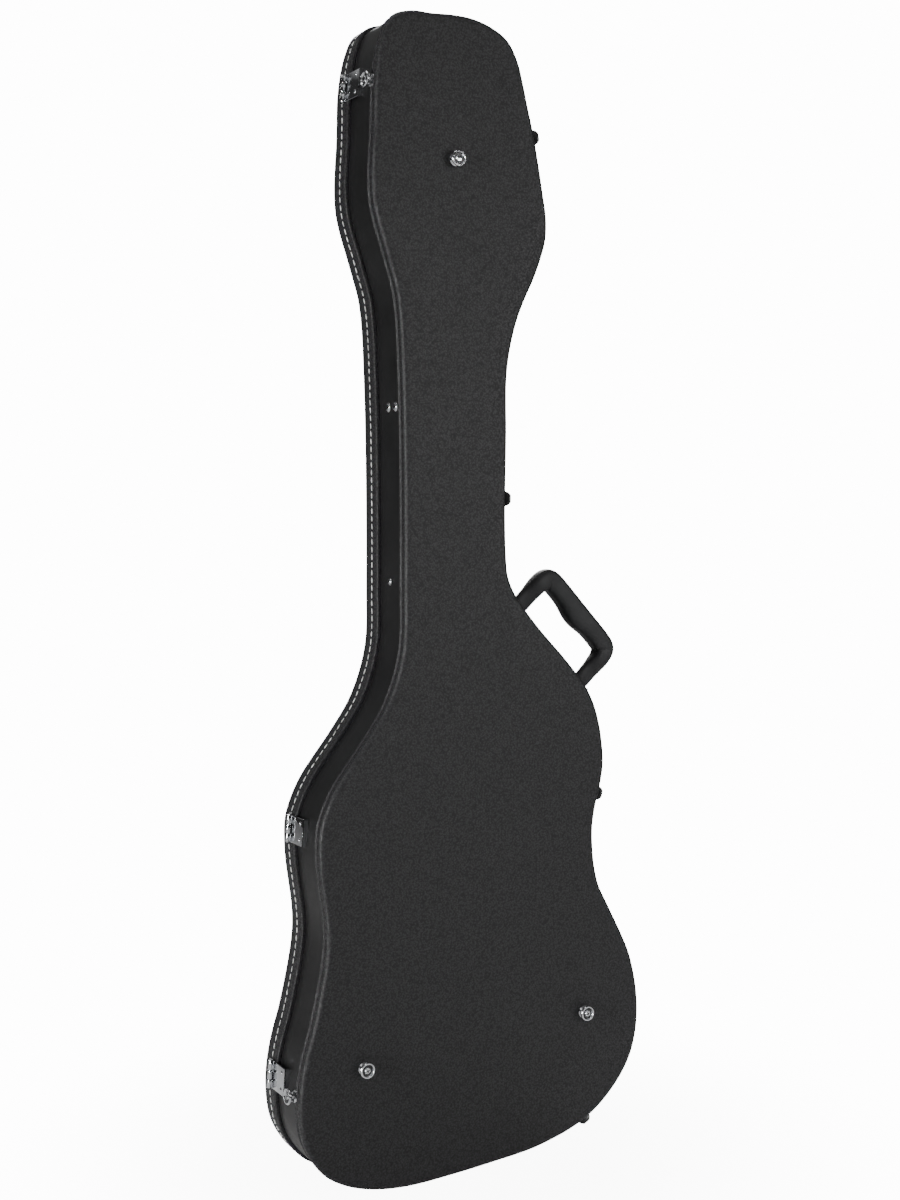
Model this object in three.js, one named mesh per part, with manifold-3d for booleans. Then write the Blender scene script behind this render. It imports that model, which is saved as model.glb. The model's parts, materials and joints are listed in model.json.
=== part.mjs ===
// Hardshell bass guitar case: a shallow base and an arched lid on three hinges,
// closed by four draw latches and carried by a moulded handle.
// Millimetres, +Z up. The case stands on its tail with its head up, its back
// faces +Y, its lid -Y, its hinge side +X and its handle side -X.
import * as THREE from 'three';
import { mergeVertices } from 'three/addons/utils/BufferGeometryUtils.js';
import Module from 'manifold-3d';

const wasm = await Module();
wasm.setup();

// ---------------------------------------------------------------- dimensions

// The case's wall outline, seen from the lid's side with the hinges at +X:
// anticlockwise from the tail, (x, z), joined by one smooth curve.
const WALL_OUTLINE = [
  // Lower bout on the hinge side
  [86, 7.4], [133.3, 15.3], [173, 35], [197.2, 70], [203.3, 108], [199, 150],
  [184.5, 202], [171, 280],
  // Upper bout and shoulder on the hinge side
  [179, 356], [178.4, 396.5], [161.7, 435.5], [131, 476], [101, 520], [83, 574.5],
  // Neck and head on the hinge side
  [80.8, 640], [82.8, 860], [88.9, 945], [101.1, 986], [116.4, 1040], [114.7, 1115],
  [110.7, 1179.5],
  // Head end
  [93, 1224], [50, 1230.5], [-1, 1231], [-40.5, 1213.5],
  // Head and neck on the handle side
  [-63.6, 1149], [-80.7, 1071], [-87, 1022], [-76.6, 984], [-51.2, 929], [-38.2, 875],
  [-37, 800], [-36.3, 690], [-42, 643],
  // Shoulder, upper bout and waist on the handle side
  [-78.7, 593.3], [-113.6, 557.4], [-150, 511], [-165, 440], [-151.2, 370], [-157.6, 307],
  // Lower bout on the handle side and the sloped tail
  [-178.8, 264.7], [-204.5, 211], [-214.6, 150], [-205.8, 101], [-180.3, 64.6],
  [-142.6, 36.6], [-81.5, 18], [-31.5, 12.6], [40, 7.9],
];
const OUTLINE_STEPS = 128;

const GAP = 0.3;
const FIT = 0.4;
const OVERHANG = 3;
const WALL_THICKNESS = 8;

// Depths run from the back face, towards the lid
const BACK_THICKNESS = 9.5;
const BACK_EDGE_ROUND = 3.5;
const PARTING_DEPTH = 63.6;
const PARTING_GAP = 1;
const RIM_END_DEPTH = 87;
const LID_TOP_DEPTH = 104;
const LID_TOP_ROUND = 12;
const LID_TOP_WALL = 7;
const FOOT_HEIGHT = 10;

const FLOOR_LINING_THICKNESS = 6;
const SIDE_LINING_THICKNESS = 10;
const VALANCE_RISE = 6;
// The side lining is laid in strips that meet at these heights
const BODY_STRIP_END = 600;
const HEAD_STRIP_START = 950;
const LID_LINING_THICKNESS = 8;

// The hinge line leans in towards the head, along the bulges of the hinge side
const HINGE_AXIS_DEPTH = 70;
const HINGE_AXIS_TAIL = [208.8, 139];
const HINGE_AXIS_HEAD = [120, 1160];
const HINGE_HEIGHTS = [128, 388, 1163];
const HINGE_LENGTH = 28.5;
const HINGE_BARREL_RADIUS = 3;
const HINGE_PIN_RADIUS = 1.3;
const HINGE_LEAF_THICKNESS = 1.5;
const HINGE_LID_LEAF_WIDTH = 11.5;
const HINGE_BASE_LEAF_WIDTH = 32;
const HINGE_RIVET_INSET = 3.4;
const HINGE_STAND_OFF = 7.5;

const LATCH_PLACES = [[-70.3, 1122.9], [-35.8, 735], [-158.7, 405.3], [-148.2, 39.6]];
const LATCH_PIVOT = { y: -10, z: 6 };
const LATCH_PIN_RADIUS = 1.3;
const LATCH_LEVER_WIDTH = 17;
const LATCH_PLATE_WIDTH = 30;
const BAIL_RADIUS = 1.2;
const BAIL_HALF_WIDTH = 11;
const BAIL_PIVOT = { y: -20, z: 9 };
const BAIL_END = 9.5;

const HANDLE_CENTRE = [-106.2, 563.4];
const HANDLE_NORMAL = [-0.728, 0.686];
const HANDLE_DEPTH = 34;
const HANDLE_HALF_LENGTH = 70;
const HANDLE_REACH = 75;
const HANDLE_LEG_WIDTH = 20;
const HANDLE_GRIP_INNER = 49;
const HANDLE_THICKNESS = 22;
const HANDLE_LEG_THICKNESS = 10;
const HANDLE_PIVOT_HEIGHT = 8;
const HANDLE_PIN_RADIUS = 2.2;

const BACK_FEET = [[25.4, 1086.4], [-140.8, 159.6], [134.2, 142.6]];
const SIDE_FEET = [{ place: [112, 1160], depth: 16 }, { place: [203, 121], depth: 20 }];
const FOOT_RADIUS = 8.6;

const RIVETS = [
  { place: [83, 831], depth: 41, radius: 5.4 },
  { place: [83, 831], depth: 25, radius: 5.4 },
  { place: [82, 647], depth: 40, radius: 4 },
];

const COMPARTMENT_TAIL = 643;
const COMPARTMENT_HEAD = 835;
const COMPARTMENT_WALL = 8;
const COMPARTMENT_DEPTH = 46;
const COMPARTMENT_LID_THICKNESS = 5;
const NECK_INSIDE = [-13, 62];
const CRADLE_SPAN = [872, 906];
const CRADLE_DEPTH = 60;
const CRADLE_RADIUS = 32;

// ----------------------------------------------------------------- materials

const finish = (color, roughness, metalness = 0) => (
  new THREE.MeshStandardMaterial({ color, roughness, metalness })
);
const grainedVinyl = finish(0x38383a, 0.62);
const smoothVinyl = finish(0x242425, 0.5);
const plush = finish(0x1b1b1d, 0.95);
const chrome = finish(0xd2d4d6, 0.12, 1);
const blackSteel = finish(0x141415, 0.35, 0.4);
const moulding = finish(0x2e2e30, 0.55);
const ribbon = finish(0x151516, 0.8);

// ------------------------------------------------------------------- helpers

function toSolid(geometry) {
  const bare = geometry.clone();
  bare.deleteAttribute('normal');
  bare.deleteAttribute('uv');
  const merged = mergeVertices(bare, 1e-4);
  return new wasm.Manifold(new wasm.Mesh({
    numProp: 3,
    vertProperties: new Float32Array(merged.attributes.position.array),
    triVerts: new Uint32Array(merged.index.array),
  }));
}

function toGeometry(solid) {
  const { vertProperties, triVerts } = solid.getMesh();
  const geometry = new THREE.BufferGeometry();
  geometry.setAttribute('position', new THREE.BufferAttribute(vertProperties, 3));
  geometry.setIndex(new THREE.BufferAttribute(triVerts, 1));
  geometry.computeVertexNormals();
  return geometry;
}

function join(first, ...others) {
  return toGeometry(others.reduce((sum, next) => sum.add(toSolid(next)), toSolid(first)));
}

function cut(first, ...others) {
  return toGeometry(others.reduce((rest, next) => rest.subtract(toSolid(next)), toSolid(first)));
}

function common(first, second) {
  return toGeometry(toSolid(first).intersect(toSolid(second)));
}

function mesh(name, geometry, material) {
  const piece = new THREE.Mesh(geometry, material);
  piece.name = name;
  return piece;
}

// A box from its lowest to its highest corner
function box(low, high) {
  const size = high.map((value, i) => value - low[i]);
  const centre = high.map((value, i) => (value + low[i]) / 2);
  return new THREE.BoxGeometry(...size).translate(...centre);
}

// A round bar along X, centred on (y, z)
function barX(radius, from, to, y, z, sides = 16) {
  return new THREE.CylinderGeometry(radius, radius, to - from, sides)
    .rotateZ(Math.PI / 2)
    .translate((from + to) / 2, y, z);
}

// A profile of (y, z) points, extruded along X
function prismX(profile, from, to) {
  const shape = new THREE.Shape(profile.map(([y, z]) => new THREE.Vector2(y, z)));
  return new THREE.ExtrudeGeometry(shape, { depth: to - from, bevelEnabled: false, curveSegments: 4 })
    .rotateX(Math.PI / 2)
    .rotateZ(Math.PI / 2)
    .translate(from, 0, 0);
}

function dome(radius, height, x, y, z) {
  return new THREE.LatheGeometry([
    new THREE.Vector2(0, -0.5),
    new THREE.Vector2(radius, -0.5),
    new THREE.Vector2(radius, 0.2),
    new THREE.Vector2(radius * 0.72, height * 0.75),
    new THREE.Vector2(0, height),
  ], 8).rotateX(Math.PI / 2).translate(x, y, z);
}

// ------------------------------------------------------------------- outline

const wallCurve = new THREE.CatmullRomCurve3(
  WALL_OUTLINE.map(([x, z]) => new THREE.Vector3(x, z, 0)),
  true,
  'centripetal',
);
const wallPoints = wallCurve.getSpacedPoints(OUTLINE_STEPS).slice(0, OUTLINE_STEPS);

function outwardAt(points, i) {
  const before = points[(i + points.length - 1) % points.length];
  const after = points[(i + 1) % points.length];
  return new THREE.Vector2(after.y - before.y, before.x - after.x).normalize();
}

function grown(distance) {
  return wallPoints.map((point, i) => {
    const outward = outwardAt(wallPoints, i);
    return new THREE.Vector2(point.x + outward.x * distance, point.y + outward.y * distance);
  });
}

// A flat slab of the outline, its plane facing Y, from one depth to another
function slab(outerGrowth, innerGrowth, fromDepth, toDepth, round = 0, roundSegments = 2) {
  const shape = new THREE.Shape(grown(outerGrowth));
  if (innerGrowth !== null) {
    shape.holes.push(new THREE.Path(grown(innerGrowth)));
  }
  return new THREE.ExtrudeGeometry(shape, {
    depth: toDepth - fromDepth - 2 * round,
    bevelEnabled: round > 0,
    bevelThickness: round,
    bevelSize: round,
    bevelOffset: -round,
    bevelSegments: roundSegments,
  }).translate(0, 0, fromDepth + round);
}

// Turns a slab's depth axis from +Z to -Y
function stand(geometry) {
  return geometry.rotateX(Math.PI / 2);
}

function nearestOnWall([x, z]) {
  const dense = wallCurve.getSpacedPoints(1200);
  let best = 0;
  dense.forEach((point, i) => {
    const nearer = Math.hypot(point.x - x, point.y - z)
      < Math.hypot(dense[best].x - x, dense[best].y - z);
    best = nearer ? i : best;
  });
  const outward = outwardAt(dense.slice(0, -1), best % (dense.length - 1));
  return { x: dense[best].x, z: dense[best].y, outward };
}

// A group on the wall: its X along the wall, its Y towards the lid, its Z outward
function wallGroup(x, z, outward, depth) {
  const group = new THREE.Group();
  group.matrixAutoUpdate = false;
  group.matrix.makeBasis(
    new THREE.Vector3(-outward.y, 0, outward.x),
    new THREE.Vector3(0, -1, 0),
    new THREE.Vector3(outward.x, 0, outward.y),
  ).setPosition(x, -depth, z);
  return group;
}

// The closed case's body with a little clearance, in a wall group's own frame,
// so that a fitting cut by it follows the curved walls
function bodyIn(group) {
  const base = slab(FIT, null, 0, PARTING_DEPTH + PARTING_GAP);
  const rim = slab(OVERHANG + FIT, null, PARTING_DEPTH, RIM_END_DEPTH);
  const body = stand(join(base, rim));
  return body.applyMatrix4(group.matrix.clone().invert());
}

// --------------------------------------------------------------- base shell

function baseShell() {
  const floorTop = BACK_THICKNESS + GAP + FLOOR_LINING_THICKNESS;
  const inside = -WALL_THICKNESS - GAP;
  return [
    mesh('back_panel', stand(slab(OVERHANG, null, 0, BACK_THICKNESS, BACK_EDGE_ROUND)), grainedVinyl),
    mesh('base_wall', stand(slab(0, -WALL_THICKNESS, BACK_THICKNESS + GAP, PARTING_DEPTH)), smoothVinyl),
    mesh('base_floor_lining', stand(slab(inside, null, BACK_THICKNESS + GAP, floorTop)), plush),
  ];
}

// Four foam strips round the inside of the base walls
function sideLining() {
  const from = BACK_THICKNESS + FLOOR_LINING_THICKNESS + 2 * GAP;
  const to = PARTING_DEPTH + VALANCE_RISE;
  const inside = -WALL_THICKNESS - GAP;
  const ring = stand(slab(inside, inside - SIDE_LINING_THICKNESS, from, to));
  const far = 2000;
  const middle = (NECK_INSIDE[0] + NECK_INSIDE[1]) / 2;
  const strip = (name, [lowX, highX], [lowZ, highZ]) => mesh(
    name,
    common(ring, box([lowX, -LID_TOP_DEPTH, lowZ], [highX, 0, highZ])),
    plush,
  );
  const neck = [BODY_STRIP_END + GAP, HEAD_STRIP_START - GAP];
  return [
    strip('side_lining_body', [-far, far], [-far, BODY_STRIP_END]),
    strip('side_lining_neck_hinge_side', [middle, far], neck),
    strip('side_lining_neck_handle_side', [-far, middle], neck),
    strip('side_lining_head', [-far, far], [HEAD_STRIP_START, far]),
  ];
}

function compartment() {
  const floor = BACK_THICKNESS + FLOOR_LINING_THICKNESS + 2 * GAP;
  const [left, right] = NECK_INSIDE;
  const divider = (name, from, to) => mesh(
    name,
    box([left, -COMPARTMENT_DEPTH, from], [right, -floor, to]),
    plush,
  );
  const lidTop = COMPARTMENT_DEPTH + GAP + COMPARTMENT_LID_THICKNESS;
  const lid = box(
    [left + 1, -lidTop, COMPARTMENT_TAIL + 1],
    [right - 1, -COMPARTMENT_DEPTH - GAP, COMPARTMENT_HEAD - 1],
  );
  const middle = (COMPARTMENT_TAIL + COMPARTMENT_HEAD) / 2;
  const tab = box([left + 4, -lidTop - 9, middle - 9], [left + 5.5, -lidTop - GAP, middle + 9]);
  return [
    divider('compartment_divider_tail', COMPARTMENT_TAIL, COMPARTMENT_TAIL + COMPARTMENT_WALL),
    divider('compartment_divider_head', COMPARTMENT_HEAD - COMPARTMENT_WALL, COMPARTMENT_HEAD),
    mesh('compartment_lid', lid, plush),
    mesh('compartment_pull_tab', tab, ribbon),
  ];
}

function neckCradle() {
  const floor = BACK_THICKNESS + FLOOR_LINING_THICKNESS + 2 * GAP;
  const [left, right] = NECK_INSIDE;
  const [tail, head] = CRADLE_SPAN;
  const block = box([left, -CRADLE_DEPTH, tail], [right, -floor, head]);
  const notch = new THREE.CylinderGeometry(CRADLE_RADIUS, CRADLE_RADIUS, 2 * (head - tail), 24)
    .rotateX(Math.PI / 2)
    .translate((left + right) / 2, -CRADLE_DEPTH - CRADLE_RADIUS / 3, (tail + head) / 2);
  return mesh('neck_cradle', cut(block, notch), plush);
}

// ---------------------------------------------------------------- lid shell

function lidShell() {
  const rimInside = OVERHANG - WALL_THICKNESS;
  const liningFrom = RIM_END_DEPTH + GAP;
  const cover = slab(OVERHANG - 1, null, liningFrom - LID_TOP_ROUND, LID_TOP_DEPTH, LID_TOP_ROUND, 3);
  const below = slab(OVERHANG + 5, null, 0, liningFrom);
  const hollow = slab(rimInside - 2, null, 0, LID_TOP_DEPTH - LID_TOP_WALL);
  const lining = slab(
    rimInside - 2 - GAP,
    null,
    LID_TOP_DEPTH - LID_TOP_WALL - GAP - LID_LINING_THICKNESS,
    LID_TOP_DEPTH - LID_TOP_WALL - GAP,
  );
  return [
    mesh(
      'lid_rim',
      stand(slab(OVERHANG, rimInside, PARTING_DEPTH + PARTING_GAP, RIM_END_DEPTH)),
      grainedVinyl,
    ),
    mesh('lid_top', stand(cut(cover, below, hollow)), grainedVinyl),
    mesh('lid_lining', stand(lining), plush),
  ];
}

// ------------------------------------------------------------------ hinges

function hinge(index) {
  const height = HINGE_HEIGHTS[index];
  const [tailX, tailZ] = HINGE_AXIS_TAIL;
  const [headX, headZ] = HINGE_AXIS_HEAD;
  const along = new THREE.Vector2(headX - tailX, headZ - tailZ).normalize();
  const outward = new THREE.Vector2(along.y, -along.x);
  const x = tailX + (height - tailZ) * (along.x / along.y);
  const group = wallGroup(x, height, outward, HINGE_AXIS_DEPTH);

  const half = HINGE_LENGTH / 2;
  const third = HINGE_LENGTH / 6;
  const rimFace = OVERHANG - HINGE_STAND_OFF + GAP;
  const leafTop = rimFace + HINGE_LEAF_THICKNESS;
  const baseLift = 1;
  const bore = HINGE_PIN_RADIUS + 0.15;
  const clear = HINGE_BARREL_RADIUS + 0.5;
  const barrel = (from, to) => cut(
    barX(HINGE_BARREL_RADIUS, from, to, 0, 0),
    barX(bore, from - 1, to + 1, 0, 0),
  );
  const boreCut = barX(bore, -half - 1, half + 1, 0, 0);
  const knuckleCut = barX(clear, -third - 0.4, third + 0.4, 0, 0);

  const lidPlate = box([-half, clear, rimFace], [half, HINGE_LID_LEAF_WIDTH, leafTop]);
  const lidTongue = box([-third, -1, rimFace], [third, clear + 1, leafTop]);
  const lidRivets = [-half / 2, half / 2].map((place) => (
    dome(2.6, 1.4, place, HINGE_LID_LEAF_WIDTH - HINGE_RIVET_INSET, leafTop)
  ));
  const body = bodyIn(group);
  const lidLeaf = cut(
    join(lidPlate, lidTongue, barrel(-third, third), ...lidRivets),
    boreCut,
    body,
  );

  const baseFace = rimFace + baseLift;
  const baseTop = leafTop + baseLift;
  const basePlate = box([-half, -HINGE_BASE_LEAF_WIDTH, baseFace], [half, 0, baseTop]);
  const foot = box(
    [-half, -HINGE_BASE_LEAF_WIDTH, -3 - HINGE_STAND_OFF],
    [half, -HINGE_BASE_LEAF_WIDTH + HINGE_LEAF_THICKNESS, baseTop],
  );
  const baseRivets = [-half / 2, half / 2].map((place) => (
    dome(2.6, 1.4, place, -HINGE_BASE_LEAF_WIDTH + 2 * HINGE_RIVET_INSET, baseTop)
  ));
  const baseLeaf = cut(
    join(
      basePlate,
      foot,
      barX(HINGE_BARREL_RADIUS, -half, half, 0, 0),
      ...baseRivets,
    ),
    boreCut,
    knuckleCut,
    box([-third - 0.4, -clear, -8], [third + 0.4, clear, 8]),
    body,
  );

  const number = index + 1;
  group.add(
    mesh(`hinge_${number}_lid_leaf`, lidLeaf, chrome),
    mesh(`hinge_${number}_base_leaf`, baseLeaf, chrome),
    mesh(`hinge_${number}_pin`, barX(HINGE_PIN_RADIUS, -half + 0.2, half - 0.2, 0, 0), chrome),
  );
  return group;
}

// ----------------------------------------------------------------- latches

// The bail's wire: out of the lever's sides, along both arms and across
function bailPath() {
  const w = BAIL_HALF_WIDTH;
  const { y, z } = BAIL_PIVOT;
  const bend = 2.5;
  const stub = LATCH_LEVER_WIDTH / 2 + GAP;
  const at = (px, py) => new THREE.Vector3(px, py, z);
  const path = new THREE.CurvePath();
  path.add(new THREE.LineCurve3(at(-stub, y), at(-w + bend / 2, y)));
  path.add(new THREE.QuadraticBezierCurve3(at(-w + bend / 2, y), at(-w, y), at(-w, y + bend)));
  path.add(new THREE.LineCurve3(at(-w, y + bend), at(-w, BAIL_END - bend)));
  path.add(new THREE.QuadraticBezierCurve3(
    at(-w, BAIL_END - bend),
    at(-w, BAIL_END),
    at(-w + bend, BAIL_END),
  ));
  path.add(new THREE.LineCurve3(at(-w + bend, BAIL_END), at(w - bend, BAIL_END)));
  path.add(new THREE.QuadraticBezierCurve3(at(w - bend, BAIL_END), at(w, BAIL_END), at(w, BAIL_END - bend)));
  path.add(new THREE.LineCurve3(at(w, BAIL_END - bend), at(w, y + bend)));
  path.add(new THREE.QuadraticBezierCurve3(at(w, y + bend), at(w, y), at(w - bend / 2, y)));
  path.add(new THREE.LineCurve3(at(w - bend / 2, y), at(stub, y)));
  return path;
}

function bail() {
  const section = new THREE.Shape();
  section.absarc(0, 0, BAIL_RADIUS, 0, 2 * Math.PI);
  return new THREE.ExtrudeGeometry(section, {
    steps: 30,
    curveSegments: 3,
    extrudePath: bailPath(),
    bevelEnabled: false,
  });
}

function latchLever() {
  const half = LATCH_LEVER_WIDTH / 2;
  const { y, z } = LATCH_PIVOT;
  const arm = prismX([
    [y + 2, z + 2.5], [y - 4, z + 4.5], [-32, z + 4.5], [-42, z + 6], [-47, z + 11],
    [-50.5, z + 11], [-46, z + 3.5], [-36, z], [-16, z - 1.5], [y, z - 2.6],
  ], -half, half);
  const heel = barX(3, -half, half, y, z);
  const bore = barX(LATCH_PIN_RADIUS + 0.2, -half - 1, half + 1, y, z);
  const corner = 7.5;
  const top = z + 11;
  const face = new THREE.Shape();
  face.moveTo(-half, 0);
  face.lineTo(half, 0);
  face.lineTo(half, top - corner);
  face.absarc(half - corner, top - corner, corner, 0, Math.PI / 2);
  face.lineTo(-half + corner, top);
  face.absarc(-half + corner, top - corner, corner, Math.PI / 2, Math.PI);
  const envelope = new THREE.ExtrudeGeometry(face, { depth: 80, bevelEnabled: false, curveSegments: 5 })
    .rotateX(Math.PI / 2)
    .translate(0, 10, 0);
  return cut(common(join(arm, heel), envelope), bore);
}

function latchPlate() {
  const half = LATCH_PLATE_WIDTH / 2;
  const { y, z } = LATCH_PIVOT;
  const face = 0.6;
  const top = face + 1.2;
  const earOuter = half - 0.8;
  const earInner = BAIL_HALF_WIDTH + BAIL_RADIUS + 0.4;
  const plate = box([-half, -46, face], [half, -2, top]);
  const ear = (from, to) => box([from, y - 4, face], [to, y + 4, z + 3.5]);
  const rivets = [[-9, -40], [9, -40], [-9, -24], [9, -24]]
    .map(([px, py]) => dome(2.2, 1.3, px, py, top));
  return join(
    plate,
    ear(-earOuter, -earInner),
    ear(earInner, earOuter),
    barX(LATCH_PIN_RADIUS, -earOuter, earOuter, y, z),
    ...rivets,
  );
}

function latchKeeper() {
  const plate = box([-11, 3, OVERHANG + 0.6], [11, 18, OVERHANG + 1.8]);
  const lip = prismX([
    [4.6, OVERHANG + 1], [5.2, 6.4], [6.6, 7.3], [8.2, 7], [7.2, 5.4], [7, OVERHANG + 1],
  ], -8, 8);
  const rivets = [-6, 6].map((px) => dome(2.2, 1.3, px, 13.5, OVERHANG + 1.8));
  return join(plate, lip, ...rivets);
}

function latch(index) {
  const { x, z, outward } = nearestOnWall(LATCH_PLACES[index]);
  const group = wallGroup(x, z, outward, PARTING_DEPTH);
  const body = bodyIn(group);
  const number = index + 1;
  group.add(
    mesh(`latch_${number}_plate`, cut(latchPlate(), body), chrome),
    mesh(`latch_${number}_lever`, latchLever(), blackSteel),
    mesh(`latch_${number}_bail`, bail(), chrome),
    mesh(`latch_${number}_keeper`, cut(latchKeeper(), body), chrome),
  );
  return group;
}

// ------------------------------------------------------------------ handle

// The handle's side view: straight legs, rounded shoulders and a waved grip
function handleProfile() {
  const half = HANDLE_HALF_LENGTH;
  const inner = half - HANDLE_LEG_WIDTH;
  const foot = HANDLE_PIVOT_HEIGHT;
  const shoulder = 25;
  const shape = new THREE.Shape();
  shape.moveTo(half, foot);
  shape.lineTo(half, HANDLE_REACH - shoulder);
  shape.quadraticCurveTo(half, HANDLE_REACH, half - shoulder, HANDLE_REACH);
  shape.lineTo(-half + shoulder, HANDLE_REACH);
  shape.quadraticCurveTo(-half, HANDLE_REACH, -half, HANDLE_REACH - shoulder);
  shape.lineTo(-half, foot);
  shape.lineTo(-inner, foot);
  shape.lineTo(-inner, HANDLE_GRIP_INNER - 3);
  shape.lineTo(-inner + 5, HANDLE_GRIP_INNER + 2);
  const crest = HANDLE_GRIP_INNER + 2;
  const dip = HANDLE_GRIP_INNER - 2.5;
  shape.bezierCurveTo(-24, crest, -18, dip, 0, dip);
  shape.bezierCurveTo(18, dip, 24, crest, inner - 5, crest);
  shape.lineTo(inner, HANDLE_GRIP_INNER - 3);
  shape.lineTo(inner, foot);
  return shape;
}

function handleBody() {
  const round = 4;
  const thick = HANDLE_THICKNESS;
  const body = new THREE.ExtrudeGeometry(handleProfile(), {
    depth: thick - 2 * round,
    bevelEnabled: true,
    bevelThickness: round,
    bevelSize: round,
    bevelOffset: -round,
    bevelSegments: 2,
    curveSegments: 6,
  }).rotateX(Math.PI / 2).translate(0, thick / 2 - round, 0);
  const half = HANDLE_HALF_LENGTH;
  const inner = half - HANDLE_LEG_WIDTH;
  const leg = HANDLE_LEG_THICKNESS / 2;
  const thinning = [-1, 1].map((side) => box(
    [-half - 1, side > 0 ? leg : -thick, -1],
    [half + 1, side > 0 ? thick : -leg, HANDLE_GRIP_INNER - 14],
  ));
  const eyes = [[-half, -inner], [inner, half]]
    .map(([from, to]) => barX(leg, from, to, 0, HANDLE_PIVOT_HEIGHT));
  const stubs = [[-half, -inner], [inner, half]].map(([from, to]) => box(
    [from, -leg, HANDLE_PIVOT_HEIGHT],
    [to, leg, HANDLE_PIVOT_HEIGHT + 10],
  ));
  const bore = barX(HANDLE_PIN_RADIUS + 0.2, -half - 1, half + 1, 0, HANDLE_PIVOT_HEIGHT);
  return cut(join(cut(body, ...thinning), ...eyes, ...stubs), bore);
}

// One bracket: a plate shaped to the wall, two ears and the pin between them
function handleBracket(side, body) {
  const inner = HANDLE_HALF_LENGTH - HANDLE_LEG_WIDTH;
  const clear = 0.6;
  const ear = 2.2;
  const low = inner - clear - ear;
  const high = HANDLE_HALF_LENGTH + clear + ear;
  const [from, to] = side > 0 ? [low, high] : [-high, -low];
  const top = HANDLE_PIVOT_HEIGHT + 5;
  const plate = box([from - 5, -13, -12], [to + 5, 13, 1.8]);
  const ears = [box([from, -6, -4], [from + ear, 6, top]), box([to - ear, -6, -4], [to, 6, top])];
  const pin = barX(HANDLE_PIN_RADIUS, from, to, 0, HANDLE_PIVOT_HEIGHT, 12);
  return cut(join(plate, ...ears, pin), body);
}

function handle() {
  const [x, z] = HANDLE_CENTRE;
  const outward = new THREE.Vector2(...HANDLE_NORMAL).normalize();
  const group = wallGroup(x, z, outward, HANDLE_DEPTH);
  const body = bodyIn(group);
  group.add(
    mesh('handle', handleBody(), moulding),
    mesh('handle_bracket_head', handleBracket(-1, body), chrome),
    mesh('handle_bracket_tail', handleBracket(1, body), chrome),
  );
  return group;
}

// --------------------------------------------------------- feet and rivets

// A waisted stud with a dished face and a screw boss in the middle, along +Z
function foot() {
  const r = FOOT_RADIUS;
  const h = FOOT_HEIGHT;
  const profile = [
    [0, GAP], [6.8, GAP], [6.8, 1.6], [4.8, 2.6], [4.8, h - 3.6], [r - 0.5, h - 2.6],
    [r, h - 1.6], [r - 0.7, h], [r - 2.2, h], [r - 2.9, h - 1.8], [3.4, h - 1.8],
    [3, h - 0.4], [0, h - 0.2],
  ];
  return new THREE.LatheGeometry(profile.map(([px, py]) => new THREE.Vector2(px, py)), 16)
    .rotateX(Math.PI / 2);
}

function backFoot(index) {
  const [x, z] = BACK_FEET[index];
  const piece = mesh(`back_foot_${index + 1}`, foot(), chrome);
  piece.rotation.x = -Math.PI / 2;
  piece.position.set(x, 0, z);
  return piece;
}

function sideFoot(index) {
  const { place, depth } = SIDE_FEET[index];
  const { x, z, outward } = nearestOnWall(place);
  const group = wallGroup(x, z, outward, depth);
  group.add(mesh(`side_foot_${index + 1}`, foot().translate(0, 0, 0.3), chrome));
  return group;
}

function rivet(index) {
  const { place, depth, radius } = RIVETS[index];
  const { x, z, outward } = nearestOnWall(place);
  const group = wallGroup(x, z, outward, depth);
  group.add(mesh(`compartment_rivet_${index + 1}`, dome(radius, 2.4, 0, 0, 0.9), chrome));
  return group;
}

// ---------------------------------------------------------------- the case

const guitarCase = new THREE.Group();
guitarCase.add(...baseShell(), ...sideLining(), ...compartment(), neckCradle(), ...lidShell());
HINGE_HEIGHTS.forEach((_, i) => guitarCase.add(hinge(i)));
LATCH_PLACES.forEach((_, i) => guitarCase.add(latch(i)));
guitarCase.add(handle());
BACK_FEET.forEach((_, i) => guitarCase.add(backFoot(i)));
SIDE_FEET.forEach((_, i) => guitarCase.add(sideFoot(i)));
RIVETS.forEach((_, i) => guitarCase.add(rivet(i)));

// The origin is the middle of the whole case's footprint, at its lowest point
guitarCase.updateMatrixWorld(true);
const bounds = new THREE.Box3().setFromObject(guitarCase);
const middle = bounds.getCenter(new THREE.Vector3());
guitarCase.position.set(-middle.x, -middle.y, -bounds.min.z);
export default guitarCase;
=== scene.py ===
# The looks of a hardshell bass guitar case: vinyl-covered shells, a sewn lid rim,
# plated hardware, a moulded handle and a plush lining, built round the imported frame.
import json
import math

import bmesh
import bpy
import numpy as np
from bpy.props import FloatProperty, FloatVectorProperty, PointerProperty
from mathutils import Matrix, Vector


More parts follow.
